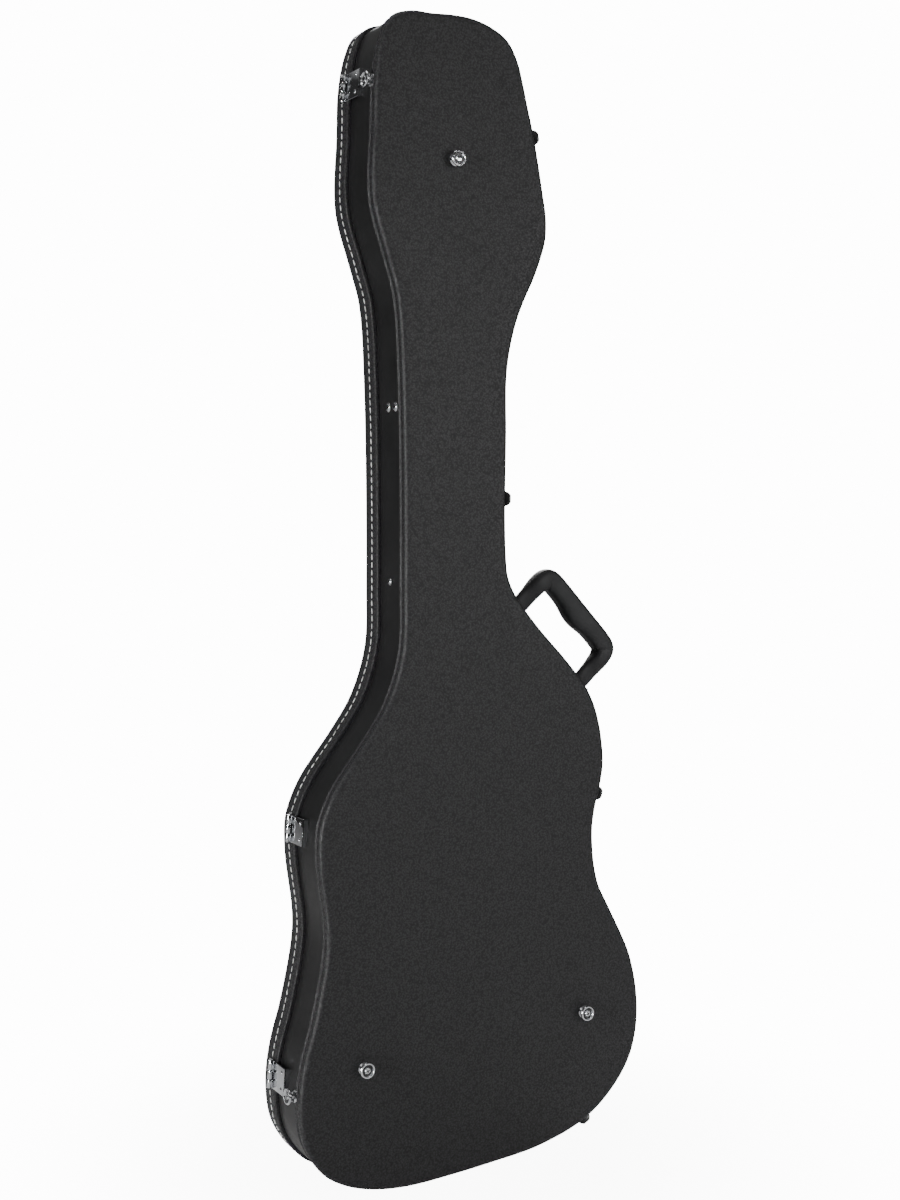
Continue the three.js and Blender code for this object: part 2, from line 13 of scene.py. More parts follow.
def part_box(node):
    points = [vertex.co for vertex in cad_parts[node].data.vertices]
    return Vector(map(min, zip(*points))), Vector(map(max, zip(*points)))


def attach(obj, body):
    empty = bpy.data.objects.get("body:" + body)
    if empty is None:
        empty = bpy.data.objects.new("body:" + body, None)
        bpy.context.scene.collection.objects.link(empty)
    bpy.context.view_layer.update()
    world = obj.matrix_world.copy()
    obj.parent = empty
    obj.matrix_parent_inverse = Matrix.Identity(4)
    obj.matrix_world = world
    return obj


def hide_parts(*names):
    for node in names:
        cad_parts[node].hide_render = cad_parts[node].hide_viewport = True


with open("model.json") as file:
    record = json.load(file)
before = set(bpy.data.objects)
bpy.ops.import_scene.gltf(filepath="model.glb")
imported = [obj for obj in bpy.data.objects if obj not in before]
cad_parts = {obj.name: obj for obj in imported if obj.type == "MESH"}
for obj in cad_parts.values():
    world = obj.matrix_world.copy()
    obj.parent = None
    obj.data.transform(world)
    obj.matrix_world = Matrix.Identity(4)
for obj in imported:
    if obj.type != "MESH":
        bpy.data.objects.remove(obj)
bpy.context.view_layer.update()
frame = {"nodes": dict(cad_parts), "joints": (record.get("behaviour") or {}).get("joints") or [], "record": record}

bl_info = {
    "name": "Bass guitar case",
    "version": (1, 0, 0),
    "blender": (4, 5, 0),
    "location": "View3D > Sidebar > Guitar case",
    "description": "Builds the covers, hardware and lining of a hardshell bass guitar case",
    "category": "Object",
}

MM = 0.001
# How bright the white surroundings look to the camera
WHITE_SEEN = 14.0

# Where the case's layers lie, measured in from its back face towards the lid
BACK_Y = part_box("back_panel")[1].y
WALL_FROM = BACK_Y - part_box("base_wall")[1].y
WALL_TO = BACK_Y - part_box("base_wall")[0].y
RIM_FROM = BACK_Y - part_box("lid_rim")[1].y
RIM_TO = BACK_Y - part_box("lid_rim")[0].y
LID_TOP = BACK_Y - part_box("lid_top")[0].y
FLOOR_FROM = BACK_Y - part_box("base_floor_lining")[1].y
FLOOR_TO = BACK_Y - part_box("base_floor_lining")[0].y
SIDE_FROM = BACK_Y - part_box("side_lining_body")[1].y
SIDE_TO = BACK_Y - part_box("side_lining_body")[0].y
LID_LINING_FROM = BACK_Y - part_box("lid_lining")[1].y
LID_LINING_TO = BACK_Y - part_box("lid_lining")[0].y
# How far both covers stand out past the wall, and the wall's and its lining's thickness
OVERHANG = 3 * MM
WALL = 8 * MM
SIDE_LINING = 10 * MM
# How far out from the wall the sunk line that holds the stitches lies
STITCH_GROOVE = 2.4 * MM
# How many points of the smooth outline there are for each corner of the wall
STEPS_PER_CORNER = 4

JOINTS = {joint["name"]: joint for joint in frame["joints"]}
MOUNTS = {mount["name"]: mount for mount in frame["record"]["mounts"]}
TO_LID = Vector((0, -1, 0))


# ---------------------------------------------------------------- the outline

def edge_loops(bm):
    """The closed loops of edges round the flat end face that looks to the lid."""
    flat = {f for f in bm.faces if f.normal.y < -0.9}
    rim = [e for e in bm.edges if sum(f in flat for f in e.link_faces) == 1]
    left, loops = set(rim), []
    while left:
        edge = left.pop()
        first, here = edge.verts
        loop = [first.co.copy()]
        while here is not first:
            loop.append(here.co.copy())
            edge = next(e for e in here.link_edges if e in left)
            left.discard(edge)
            here = edge.other_vert(here)
        loops.append(loop)
    return loops


def wall_corners():
    """The wall's outer corners, anticlockwise as seen from the lid, from the leftmost."""
    bm = bmesh.new()
    bm.from_mesh(frame["nodes"]["base_wall"].data)
    bmesh.ops.remove_doubles(bm, verts=bm.verts, dist=0.01 * MM)
    loops = edge_loops(bm)
    bm.free()
    outer = max(loops, key=lambda loop: max(p.z for p in loop))
    points = np.array([(p.x, p.z) for p in outer])
    ahead = np.roll(points, -1, axis=0)
    area = np.sum(points[:, 0] * ahead[:, 1] - ahead[:, 0] * points[:, 1])
    points = points if area > 0 else points[::-1]
    start = min(range(len(points)), key=lambda i: tuple(points[i]))
    return np.roll(points, -start, axis=0)


def smooth_closed(points, steps):
    """A smooth closed curve through points that are evenly spaced."""
    before, after = np.roll(points, 1, axis=0), np.roll(points, -1, axis=0)
    beyond = np.roll(points, -2, axis=0)
    rows = []
    for t in np.arange(steps) / steps:
        rows.append(0.5 * (
            2 * points + (after - before) * t
            + (2 * before - 5 * points + 4 * after - beyond) * t ** 2
            + (3 * points - before - 3 * after + beyond) * t ** 3
        ))
    return np.stack(rows, axis=1).reshape(-1, 2)


OUTLINE = smooth_closed(wall_corners(), STEPS_PER_CORNER)
TANGENTS = np.roll(OUTLINE, -1, axis=0) - np.roll(OUTLINE, 1, axis=0)
TANGENTS /= np.linalg.norm(TANGENTS, axis=1)[:, None]
OUTWARD = np.stack([TANGENTS[:, 1], -TANGENTS[:, 0]], axis=1)


def ring(growth, depth, every=1):
    """The outline grown outwards by growth, at a depth from the back face."""
    grown = OUTLINE[::every] + OUTWARD[::every] * growth
    return [Vector((x, BACK_Y - depth, z)) for x, z in grown]


def outward_near(point):
    """The wall's outward direction nearest to a point."""
    near = np.argmin(np.hypot(OUTLINE[:, 0] - point.x, OUTLINE[:, 1] - point.z))
    return Vector((OUTWARD[near][0], 0, OUTWARD[near][1]))


def on_wall(origin, outward):
    """A frame with X along the wall, Y towards the lid and Z outward."""
    along = Vector((-outward.z, 0, outward.x))
    turned = Matrix((along, TO_LID, outward)).transposed().to_4x4()
    return Matrix.Translation(origin) @ turned


# ------------------------------------------------------------- mesh helpers

def loft(bm, rings):
    """Extrudes the first ring of points through the others. Returns the end edges."""
    corner = bm.verts.layers.int.get("corner") or bm.verts.layers.int.new("corner")
    verts = [bm.verts.new(point) for point in rings[0]]
    for i, vert in enumerate(verts):
        vert[corner] = i
    first = [bm.edges.new((verts[i - 1], verts[i])) for i in range(len(verts))]
    last = first
    for points in rings[1:]:
        made = bmesh.ops.extrude_edge_only(bm, edges=last)["geom"]
        fresh = {item for item in made if isinstance(item, bmesh.types.BMVert)}
        for vert in fresh:
            vert.co = points[vert[corner]]
        last = [item for item in made
                if isinstance(item, bmesh.types.BMEdge) and fresh.issuperset(item.verts)]
    return first, last


def capped_loft(bm, rings):
    """A loft closed by a face at both ends."""
    for edges in loft(bm, rings):
        bmesh.ops.edgeloop_fill(bm, edges=edges)


def closed_loft(bm, rings):
    """A loft whose last ring runs back into its first."""
    loft(bm, [*rings, rings[0]])
    bmesh.ops.remove_doubles(bm, verts=bm.verts, dist=0.001 * MM)


def block(bm, low, high, place=Matrix(), edge=0.3, segments=2):
    """A box from corner to corner in millimetres, with its edges rounded."""
    low, high = Vector(low) * MM, Vector(high) * MM
    sized = Matrix.Translation((low + high) / 2) @ Matrix.Diagonal((*(high - low), 1))
    made = bmesh.ops.create_cube(bm, size=1, matrix=place @ sized)
    soften(bm, made["verts"], edge * MM, segments)


def soften(bm, verts, width, segments=2, over=30):
    """Bevels the edges among verts that turn by more than an angle in degrees."""
    inside = set(verts)
    edges = {e for v in verts for e in v.link_edges if inside.issuperset(e.verts)}
    sharp = [e for e in edges if len(e.link_faces) == 2
             and e.calc_face_angle(0) > math.radians(over)]
    bmesh.ops.bevel(bm, geom=sharp, offset=width, segments=segments, profile=0.5,
                    affect="EDGES", material=-1, clamp_overlap=True)


def turned(bm, profile, place=Matrix(), steps=40):
    """A turned shape from (radius, height) points in millimetres, about place's Z."""
    verts = [bm.verts.new((r * MM, 0, h * MM)) for r, h in profile]
    edges = [bm.edges.new(pair) for pair in zip(verts, verts[1:])]
    bmesh.ops.spin(bm, geom=verts + edges, axis=(0, 0, 1), cent=(0, 0, 0),
                   angle=2 * math.pi, steps=steps, use_merge=True)
    shape = linked(verts[0])
    bmesh.ops.remove_doubles(bm, verts=shape, dist=0.001 * MM)
    shape = linked(next(v for v in shape if v.is_valid))
    bmesh.ops.transform(bm, matrix=place, verts=shape)


def linked(vert):
    """Every vertex joined to one by edges."""
    found, fresh = {vert}, [vert]
    while fresh:
        here = fresh.pop()
        for edge in here.link_edges:
            other = edge.other_vert(here)
            if other not in found:
                found.add(other)
                fresh.append(other)
    return list(found)


def bar(bm, radius, start, end, place=Matrix(), edge=0.3, segments=32):
    """A round bar between two points in millimetres, with softened ends."""
    a, b = place @ (Vector(start) * MM), place @ (Vector(end) * MM)
    turn = (b - a).to_track_quat("Z", "Y").to_matrix().to_4x4()
    made = bmesh.ops.create_cone(
        bm, cap_ends=True, segments=segments, radius1=radius * MM, radius2=radius * MM,
        depth=(b - a).length, matrix=Matrix.Translation((a + b) / 2) @ turn)
    soften(bm, made["verts"], edge * MM, 2, 60)


def prism(bm, outline, low, high, place=Matrix(), edge=0.3, segments=2):
    """A flat outline of (y, z) millimetres, extruded along X from low to high."""
    verts = [bm.verts.new((low * MM, y * MM, z * MM)) for y, z in outline]
    face = bm.faces.new(verts)
    made = bmesh.ops.extrude_face_region(bm, geom=[face])["geom"]
    moved = [item for item in made if isinstance(item, bmesh.types.BMVert)]
    bmesh.ops.translate(bm, verts=moved, vec=((high - low) * MM, 0, 0))
    if not face.is_valid:
        bm.faces.new(verts)
    both = verts + moved
    bmesh.ops.transform(bm, matrix=place, verts=both)
    soften(bm, both, edge * MM, segments)


def tube(bm, path, radius, sides=12):
    """A round wire along points in metres, with flat ends."""
    rings = []
    side = Vector((0, 0, 1))
    for i, point in enumerate(path):
        ahead = (path[min(i + 1, len(path) - 1)] - path[max(i - 1, 0)]).normalized()
        side = (side - ahead * side.dot(ahead)).normalized()
        up = ahead.cross(side)
        rings.append([
            point + radius * (side * math.cos(a) + up * math.sin(a))
            for a in np.arange(sides) * 2 * math.pi / sides
        ])
    capped_loft(bm, rings)


def piece(name, bm, material, body, nodes=(), sharp=38):
    """Finishes a bmesh as a piece of the case that rides on a body."""
    bmesh.ops.recalc_face_normals(bm, faces=bm.faces)
    mesh = bpy.data.meshes.new(name)
    bm.to_mesh(mesh)
    bm.free()
    mesh.materials.append(material)
    mesh.polygons.foreach_set("use_smooth", [True] * len(mesh.polygons))
    mesh.set_sharp_from_angle(angle=math.radians(sharp))
    made = bpy.data.objects.new(name, mesh)
    bpy.context.scene.collection.objects.link(made)
    settle(made, body, nodes)
    return made


def settle(made, body, nodes):
    """Rides a finished object on its body and hides the nodes it stands for."""
    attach(made, body)
    if nodes:
        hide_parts(*nodes)


# ---------------------------------------------------------------- materials

def linear(code):
    """An sRGB hex colour such as "38383a" as linear red, green, blue and alpha."""
    values = [int(code[i:i + 2], 16) / 255 for i in (0, 2, 4)]
    return (*[v / 12.92 if v <= 0.04045 else ((v + 0.055) / 1.055) ** 2.4 for v in values], 1)


def per(size):
    """How many repeats a pattern of that size in millimetres has in a metre."""
    return 1000 / size


def add(tree, kind, settings=None, links=None):
    """Adds a node with its settings, and links its inputs to other nodes' outputs."""
    node = tree.nodes.new(kind)
    for key, value in (settings or {}).items():
        if isinstance(key, int) or key in node.inputs:
            node.inputs[key].default_value = value
        else:
            setattr(node, key, value)
    for key, source in (links or {}).items():
        tree.links.new(source, node.inputs[key])
    return node


def ramp(tree, source, stops, interpolation="LINEAR"):
    """Maps a value to colours at the given places."""
    node = add(tree, "ShaderNodeValToRGB", links={"Fac": source})
    node.color_ramp.interpolation = interpolation
    elements = node.color_ramp.elements
    while len(elements) < len(stops):
        elements.new(0.5)
    for element, (place, colour) in zip(elements, stops):
        element.position = place
        element.color = colour
    return node.outputs["Color"]


def grey(value):
    """A grey as an opaque colour."""
    return (value, value, value, 1)


def noise(tree, place, size, detail, roughness, distortion=0.0):
    """A value that varies over patches of about a size in millimetres."""
    return add(tree, "ShaderNodeTexNoise",
               {"Scale": per(size), "Detail": detail, "Roughness": roughness,
                "Distortion": distortion}, {"Vector": place}).outputs["Fac"]


def emboss(tree, shader, height, strength, depth):
    """Bumps a material's surface by a value, to a depth in millimetres."""
    bump = add(tree, "ShaderNodeBump", {"Strength": strength, "Distance": depth * MM},
               {"Height": height})
    tree.links.new(bump.outputs["Normal"], shader.inputs["Normal"])


def new_material(name, **shader):
    """A material with one Principled shader, and its tree, shader and place."""
    material = bpy.data.materials.new(name)
    material.use_nodes = True
    tree = material.node_tree
    principled = tree.nodes["Principled BSDF"]
    for key, value in shader.items():
        principled.inputs[key.replace("_", " ")].default_value = value
    place = add(tree, "ShaderNodeTexCoord").outputs["Object"]
    return material, tree, principled, place


def grained_vinyl():
    """Expanded vinyl cloth embossed with a pebble grain: low satin and a painted highlight
    on the crowns of the pebbles, painted shade in the valleys, a slow unevenness from gluing."""
    colours = bpy.context.scene.case_colours
    sizes = bpy.context.scene.case_sizes
    material, tree, shader, place = new_material("grained_vinyl_cloth", IOR=1.5)
    warp = add(tree, "ShaderNodeTexNoise",
               {"Scale": per(6), "Detail": 2.0, "Roughness": 0.5}, {"Vector": place})
    bent = add(tree, "ShaderNodeMixRGB", {"blend_type": "LINEAR_LIGHT", "Fac": 0.0022},
               {"Color1": place, "Color2": warp.outputs["Color"]})
    pebbles = add(tree, "ShaderNodeTexVoronoi",
                  {"feature": "SMOOTH_F1", "Scale": per(sizes.grain / MM), "Smoothness": 0.35},
                  {"Vector": bent.outputs["Color"]})
    fine = noise(tree, place, 1.1, 3.0, 0.6)
    broad = noise(tree, place, 90, 2.0, 0.5)
    height = add(tree, "ShaderNodeMath", {"operation": "MULTIPLY_ADD", 1: -1.0, 2: 1.0},
                 {0: pebbles.outputs["Distance"]})
    rough = add(tree, "ShaderNodeMath", {"operation": "MULTIPLY_ADD", 1: 0.35},
                {0: fine, 2: height.outputs["Value"]})
    emboss(tree, shader, rough.outputs["Value"], 0.7, 0.45)
    # The colour follows the grain's height: painted shade darkens the valleys and a painted highlight lightens the
    # crowns.
    tone = ramp(tree, rough.outputs["Value"], [
        (0.45, linear_of(colours.vinyl, 0.6)),
        (0.85, linear_of(colours.vinyl, 1.0)),
        (1.1, linear_of(colours.vinyl, 1.5)),
    ])
    mottled = add(tree, "ShaderNodeMixRGB", {"blend_type": "MULTIPLY", "Fac": 0.35},
                  {"Color1": tone, "Color2": ramp(tree, broad,
                                                  [(0.3, grey(0.8)), (0.7, grey(1.0))])})
    gloss = ramp(tree, rough.outputs["Value"], [(0.5, grey(0.7)), (1.0, grey(0.4))])
    tree.links.new(mottled.outputs["Color"], shader.inputs["Base Color"])
    tree.links.new(gloss, shader.inputs["Roughness"])
    return material


def linear_of(colour, factor):
    """A property's colour, lightened or darkened."""
    return (*[min(1, channel * factor) for channel in colour[:3]], 1)


def smooth_vinyl():
    """Calendered vinyl strip with a very fine emboss: an even low satin that shows
    faint stretch marks along the wall."""
    colours = bpy.context.scene.case_colours
    material, tree, shader, place = new_material("smooth_vinyl_strip", IOR=1.5)
    fine = noise(tree, place, 1.4, 3.0, 0.55)
    streaks = noise(tree, place, 45, 4.0, 0.6)
    emboss(tree, shader, fine, 0.25, 0.2)
    tone = ramp(tree, streaks, [
        (0.3, linear_of(colours.wall, 0.85)), (0.7, linear_of(colours.wall, 1.15))])
    gloss = ramp(tree, streaks, [(0.3, grey(0.46)), (0.7, grey(0.54))])
    tree.links.new(tone, shader.inputs["Base Color"])
    tree.links.new(gloss, shader.inputs["Roughness"])
    return material


def plush_pile():
    """Short acrylic pile: no gloss, a soft pale sheen at grazing angles, painted shade between
    the tufts and darker patches painted as the shade of pile brushed the other way."""
    colours = bpy.context.scene.case_colours
    material, tree, shader, place = new_material(
        "plush_pile", Roughness=0.95, Sheen_Weight=0.35, Sheen_Roughness=0.5,
        Sheen_Tint=(0.5, 0.5, 0.52, 1), Specular_IOR_Level=0.1)
    tufts = noise(tree, place, 1.3, 3.0, 0.7)
    brushed_shade = noise(tree, place, 38, 3.0, 0.55, 1.2)
    emboss(tree, shader, tufts, 0.8, 0.8)
    # Painted shade: darker patches for pile brushed the other way, and darker hollows where the tufts' bump is
    # low.
    patch = ramp(tree, brushed_shade, [
        (0.35, linear_of(colours.plush, 0.6)), (0.6, linear_of(colours.plush, 1.3))])
    tone = add(tree, "ShaderNodeMixRGB", {"blend_type": "MULTIPLY", "Fac": 0.7},
               {"Color1": patch, "Color2": ramp(tree, tufts,
                                                [(0.3, grey(0.45)), (0.65, grey(1.0))])})
    tree.links.new(tone.outputs["Color"], shader.inputs["Base Color"])
    return material


def chrome_plate():
    """Bright chrome over pressed steel: a mirror with a faint waviness from the
    pressing and slight haze where it has been handled."""
    material, tree, shader, place = new_material("bright_chrome_plate", Metallic=1.0)
    haze = noise(tree, place, 7, 4.0, 0.6)
    wave = noise(tree, place, 5, 1.0, 0.4)
    emboss(tree, shader, wave, 0.05, 0.3)
    gloss = ramp(tree, haze, [(0.35, grey(0.05)), (0.7, grey(0.11))])
    tone = ramp(tree, haze, [(0.3, linear("d9dadc")), (0.75, linear("c4c6c9"))])
    tree.links.new(tone, shader.inputs["Base Color"])
    tree.links.new(gloss, shader.inputs["Roughness"])
    return material


def black_enamel():
    """Stoved black enamel on a steel pressing: smooth and fairly glossy, with a
    slight orange-peel whose dips are painted a little darker as shade."""
    material, tree, shader, place = new_material(
        "stoved_black_enamel", IOR=1.5, Coat_Weight=0.3, Coat_Roughness=0.15)
    peel = noise(tree, place, 1.8, 2.0, 0.5)
    emboss(tree, shader, peel, 0.15, 0.15)
    # Painted shade: the colour is a little darker in the dips of the peel, following the bump.
    tone = ramp(tree, peel, [(0.3, linear("101011")), (0.7, linear("18181a"))])
    gloss = ramp(tree, peel, [(0.3, grey(0.28)), (0.7, grey(0.4))])
    tree.links.new(tone, shader.inputs["Base Color"])
    tree.links.new(gloss, shader.inputs["Roughness"])
    return material


def moulded_grip():
    """Soft PVC moulded round a steel core: matt, with a fine spark-eroded texture
    and slightly polished where a hand has held it."""
    colours = bpy.context.scene.case_colours
    material, tree, shader, place = new_material("moulded_soft_pvc", IOR=1.48)
    spark = noise(tree, place, 0.9, 3.0, 0.65)
    wear = noise(tree, place, 30, 3.0, 0.5)
    emboss(tree, shader, spark, 0.3, 0.2)
    tone = ramp(tree, wear, [
        (0.3, linear_of(colours.moulding, 0.88)), (0.7, linear_of(colours.moulding, 1.12))])
    gloss = ramp(tree, wear, [(0.3, grey(0.62)), (0.75, grey(0.5))])
    tree.links.new(tone, shader.inputs["Base Color"])
    tree.links.new(gloss, shader.inputs["Roughness"])
    return material


def cotton_thread():
    """Thick bonded thread, three plies twisted together: off-white with painted shade in
    darker lines between the plies. The twist is drawn coarse enough to show."""
    colours = bpy.context.scene.case_colours
    material, tree, shader, place = new_material(
        "bonded_white_thread", Roughness=0.8, Sheen_Weight=0.2, Specular_IOR_Level=0.3)
    plies = noise(tree, place, 1.2, 2.0, 0.6)
    emboss(tree, shader, plies, 0.5, 0.2)
    # Painted shade: the colour is darker where the plies' bump is low, between the plies.
    tone = ramp(tree, plies, [
        (0.3, linear_of(colours.thread, 0.85)), (0.55, linear_of(colours.thread, 1.0))])
    tree.links.new(tone, shader.inputs["Base Color"])
    return material


def woven_ribbon():
    """Ribbed polyester ribbon: fine ribs across its width with a low sheen, painted shade in the grooves."""
    material, tree, shader, place = new_material(
        "ribbed_ribbon", Roughness=0.75, Sheen_Weight=0.2, Specular_IOR_Level=0.3)
    ribs = add(tree, "ShaderNodeTexWave",
               {"bands_direction": "Z", "Scale": per(1.0) / 3.2, "Distortion": 0.3},
               {"Vector": place})
    emboss(tree, shader, ribs.outputs["Fac"], 0.5, 0.2)
    # Painted shade: the colour follows the ribs' bump, darker in the grooves between them.
    tone = ramp(tree, ribs.outputs["Fac"], [(0.2, linear("101011")), (0.8, linear("222224"))])
    tree.links.new(tone, shader.inputs["Base Color"])
    return material


def studio_floor():
    """Matt white paper under the case, which fades into the white surroundings."""
    material, tree, shader, place = new_material("white_paper_sweep", Roughness=0.9)
    shader.inputs["Base Color"].default_value = linear("f2f2f2")
    away = add(tree, "ShaderNodeVectorMath", {"operation": "LENGTH"}, {0: place})
    fade = ramp(tree, away.outputs["Value"], [(0.1, grey(0.7)), (0.6, grey(1))], "EASE")
    path = add(tree, "ShaderNodeLightPath")
    seen = add(tree, "ShaderNodeMath", {"operation": "MULTIPLY"},
               {0: fade, 1: path.outputs["Is Camera Ray"]})
    glow = add(tree, "ShaderNodeEmission", {"Color": grey(1), "Strength": WHITE_SEEN})
    mix = add(tree, "ShaderNodeMixShader", links={
        "Fac": seen.outputs["Value"], 1: shader.outputs["BSDF"], 2: glow.outputs["Emission"]})
    output = tree.nodes["Material Output"]
    tree.links.new(mix.outputs["Shader"], output.inputs["Surface"])
    return material


FINISHES = {}


def finish(make):
    """The material that a function makes, made once."""
    if make not in FINISHES:
        FINISHES[make] = make()
    return FINISHES[make]


# --------------------------------------------------------------- properties

class CaseSizes(bpy.types.PropertyGroup):
    """Sizes of the covering, the sewing and the soft lining"""
    edge_roll: FloatProperty(
        name="Edge roll", description="Radius of the rolled edge round the back",
        default=4.8 * MM, unit="LENGTH", subtype="DISTANCE")
    wrap_depth: FloatProperty(
        name="Wrap depth", description="How far the back's covering wraps onto the wall",
        default=16.6 * MM, unit="LENGTH", subtype="DISTANCE")
    stitch_depth: FloatProperty(
        name="Stitch line", description="Depth of the stitch line from the back face",
        default=79 * MM, unit="LENGTH", subtype="DISTANCE")
    stitch_pitch: FloatProperty(
        name="Stitch pitch", description="Distance from one stitch to the next",
        default=8.3 * MM, unit="LENGTH", subtype="DISTANCE")
    stitch_length: FloatProperty(
        name="Stitch length", description="Length of thread that shows in a stitch",
        default=6.6 * MM, unit="LENGTH", subtype="DISTANCE")
    thread: FloatProperty(
        name="Thread", description="Thickness of the sewing thread",
        default=1.25 * MM, unit="LENGTH", subtype="DISTANCE")
    grain: FloatProperty(
        name="Grain", description="Size of a pebble in the vinyl's grain",
        default=2.1 * MM, unit="LENGTH", subtype="DISTANCE")
    pad_swell: FloatProperty(
        name="Pad swell", description="The most that the lining's foam pushes out",
        default=2.2 * MM, unit="LENGTH", subtype="DISTANCE")


class CaseColours(bpy.types.PropertyGroup):
    """Colours of the covering, the lining, the thread and the handle"""
    vinyl: FloatVectorProperty(
        name="Vinyl", description="Colour of the grained covering", subtype="COLOR",
        size=4, default=linear("1b1b1d"), min=0, max=1)
    wall: FloatVectorProperty(
        name="Wall", description="Colour of the smooth strip round the base",
        subtype="COLOR", size=4, default=linear("0f0f10"), min=0, max=1)
    plush: FloatVectorProperty(
        name="Plush", description="Colour of the lining's pile", subtype="COLOR",
        size=4, default=linear("2a2a2d"), min=0, max=1)
    thread: FloatVectorProperty(
        name="Thread", description="Colour of the stitching", subtype="COLOR",
        size=4, default=linear("f6f6f3"), min=0, max=1)
    moulding: FloatVectorProperty(
        name="Handle", description="Colour of the moulded handle", subtype="COLOR",
        size=4, default=linear("202022"), min=0, max=1)


# ------------------------------------------------------------------- shells

class BuildBackPanel(bpy.types.Operator):
    """Back panel, its covering rolled over the edge and wrapped onto the wall"""
    bl_idname = "guitar_case.back_panel"
    bl_label = "Back panel"

    def execute(self, context):
        sizes = context.scene.case_sizes
        roll, wrap = sizes.edge_roll, sizes.wrap_depth
        turn = [math.radians(a) for a in (0, 18, 36, 54, 72, 90)]
        centre = OVERHANG - roll
        profile = [(-16 * MM, 0), (-8 * MM, 0), (centre - 2 * MM, 0)]
        profile += [(centre + roll * math.sin(a), roll * (1 - math.cos(a))) for a in turn]
        profile += [
            (2.95 * MM, roll + 1.6 * MM), (2.4 * MM, roll + 3 * MM), (1.5 * MM, roll + 4.2 * MM),
            (1.05 * MM, roll + 5.2 * MM), (0.9 * MM, roll + 6.6 * MM), (0.9 * MM, wrap - 3.6 * MM),
            (0.55 * MM, wrap - 3.1 * MM), (0.9 * MM, wrap - 2.6 * MM), (1.0 * MM, wrap - 1.2 * MM),
            (1.6 * MM, wrap - 0.7 * MM), (1.85 * MM, wrap), (1.6 * MM, wrap + 0.7 * MM),
            (0.8 * MM, wrap + 1.2 * MM), (0.1 * MM, wrap + 1.3 * MM),
            (0.1 * MM, WALL_FROM - 0.2 * MM), (-12 * MM, WALL_FROM - 0.3 * MM),
        ]
        bm = bmesh.new()
        capped_loft(bm, [ring(growth, depth) for growth, depth in profile])
        piece("back_panel_covering", bm, finish(grained_vinyl), "base",
              ["back_panel"], sharp=60)
        return {"FINISHED"}


class BuildBaseWall(bpy.types.Operator):
    """Base wall in smooth vinyl, its free edge rounded at the parting line"""
    bl_idname = "guitar_case.base_wall"
    bl_label = "Base wall"

    def execute(self, _context):
        profile = [
            (0, WALL_FROM), (0, WALL_FROM + 12 * MM), (0, WALL_TO - 14 * MM),
            (0, WALL_TO - 1.2 * MM), (-0.35 * MM, WALL_TO - 0.4 * MM), (-1.2 * MM, WALL_TO),
            (1.0 * MM - WALL, WALL_TO), (-WALL, WALL_TO - 1 * MM), (-WALL, WALL_FROM),
        ]
        bm = bmesh.new()
        closed_loft(bm, [ring(growth, depth) for growth, depth in profile])
        piece("base_wall_covering", bm, finish(smooth_vinyl), "base",
              ["base_wall"], sharp=60)
        return {"FINISHED"}


class BuildLidRim(bpy.types.Operator):
    """Lid rim with a welt at the parting line and a sunk line for the stitches"""
    bl_idname = "guitar_case.lid_rim"
    bl_label = "Lid rim"

    def execute(self, context):
        seam = context.scene.case_sizes.stitch_depth
        inner = OVERHANG - WALL
        profile = [
            (OVERHANG, RIM_TO), (OVERHANG, seam + 2.4 * MM), (2.6 * MM, seam + 1.6 * MM),
            (STITCH_GROOVE, seam), (2.6 * MM, seam - 1.6 * MM), (OVERHANG, seam - 2.4 * MM),
            (OVERHANG, RIM_FROM + 3.4 * MM), (2.7 * MM, RIM_FROM + 2.9 * MM),
            (3.3 * MM, RIM_FROM + 2.3 * MM), (3.55 * MM, RIM_FROM + 1.5 * MM),
            (3.3 * MM, RIM_FROM + 0.7 * MM), (2.6 * MM, RIM_FROM + 0.2 * MM),
            (1.6 * MM, RIM_FROM), (inner, RIM_FROM), (inner, RIM_TO),
        ]
        bm = bmesh.new()
        closed_loft(bm, [ring(growth, depth) for growth, depth in profile])
        piece("lid_rim_covering", bm, finish(grained_vinyl), "lid",
              ["lid_rim"], sharp=60)
        return {"FINISHED"}


class BuildStitching(bpy.types.Operator):
    """One row of white stitches round the lid rim"""
    bl_idname = "guitar_case.stitching"
    bl_label = "Stitching"

    def execute(self, context):
        sizes = context.scene.case_sizes
        growth = STITCH_GROOVE + sizes.thread * 0.42
        path = np.array([tuple(p) for p in ring(growth, sizes.stitch_depth)])
        ahead = np.roll(path, -1, axis=0) - path
        lengths = np.linalg.norm(ahead, axis=1)
        along = np.concatenate([[0], np.cumsum(lengths)])
        count = round(along[-1] / sizes.stitch_pitch)
        slant = math.radians(5)
        half_length, half_thread = sizes.stitch_length / 2, sizes.thread / 2
        bm = bmesh.new()
        for distance in (np.arange(count) + 0.5) * along[-1] / count:
            i = int(np.searchsorted(along, distance)) - 1
            centre = Vector(path[i] + ahead[i] * (distance - along[i]) / lengths[i])
            tangent = Vector(ahead[i] / lengths[i])
            outward = Vector((tangent.z, 0, -tangent.x))
            turn = Matrix((tangent, TO_LID, outward)).transposed().to_4x4()
            turn = turn @ Matrix.Rotation(slant, 4, "Z")
            shape = Matrix.Diagonal((half_length, half_thread, half_thread, 1))
            lying = Matrix.Rotation(math.pi / 2, 4, "Y")
            bmesh.ops.create_uvsphere(
                bm, u_segments=8, v_segments=6, radius=1,
                matrix=Matrix.Translation(centre) @ turn @ shape @ lying)
        piece("lid_rim_stitching", bm, finish(cotton_thread), "lid", sharp=180)
        return {"FINISHED"}


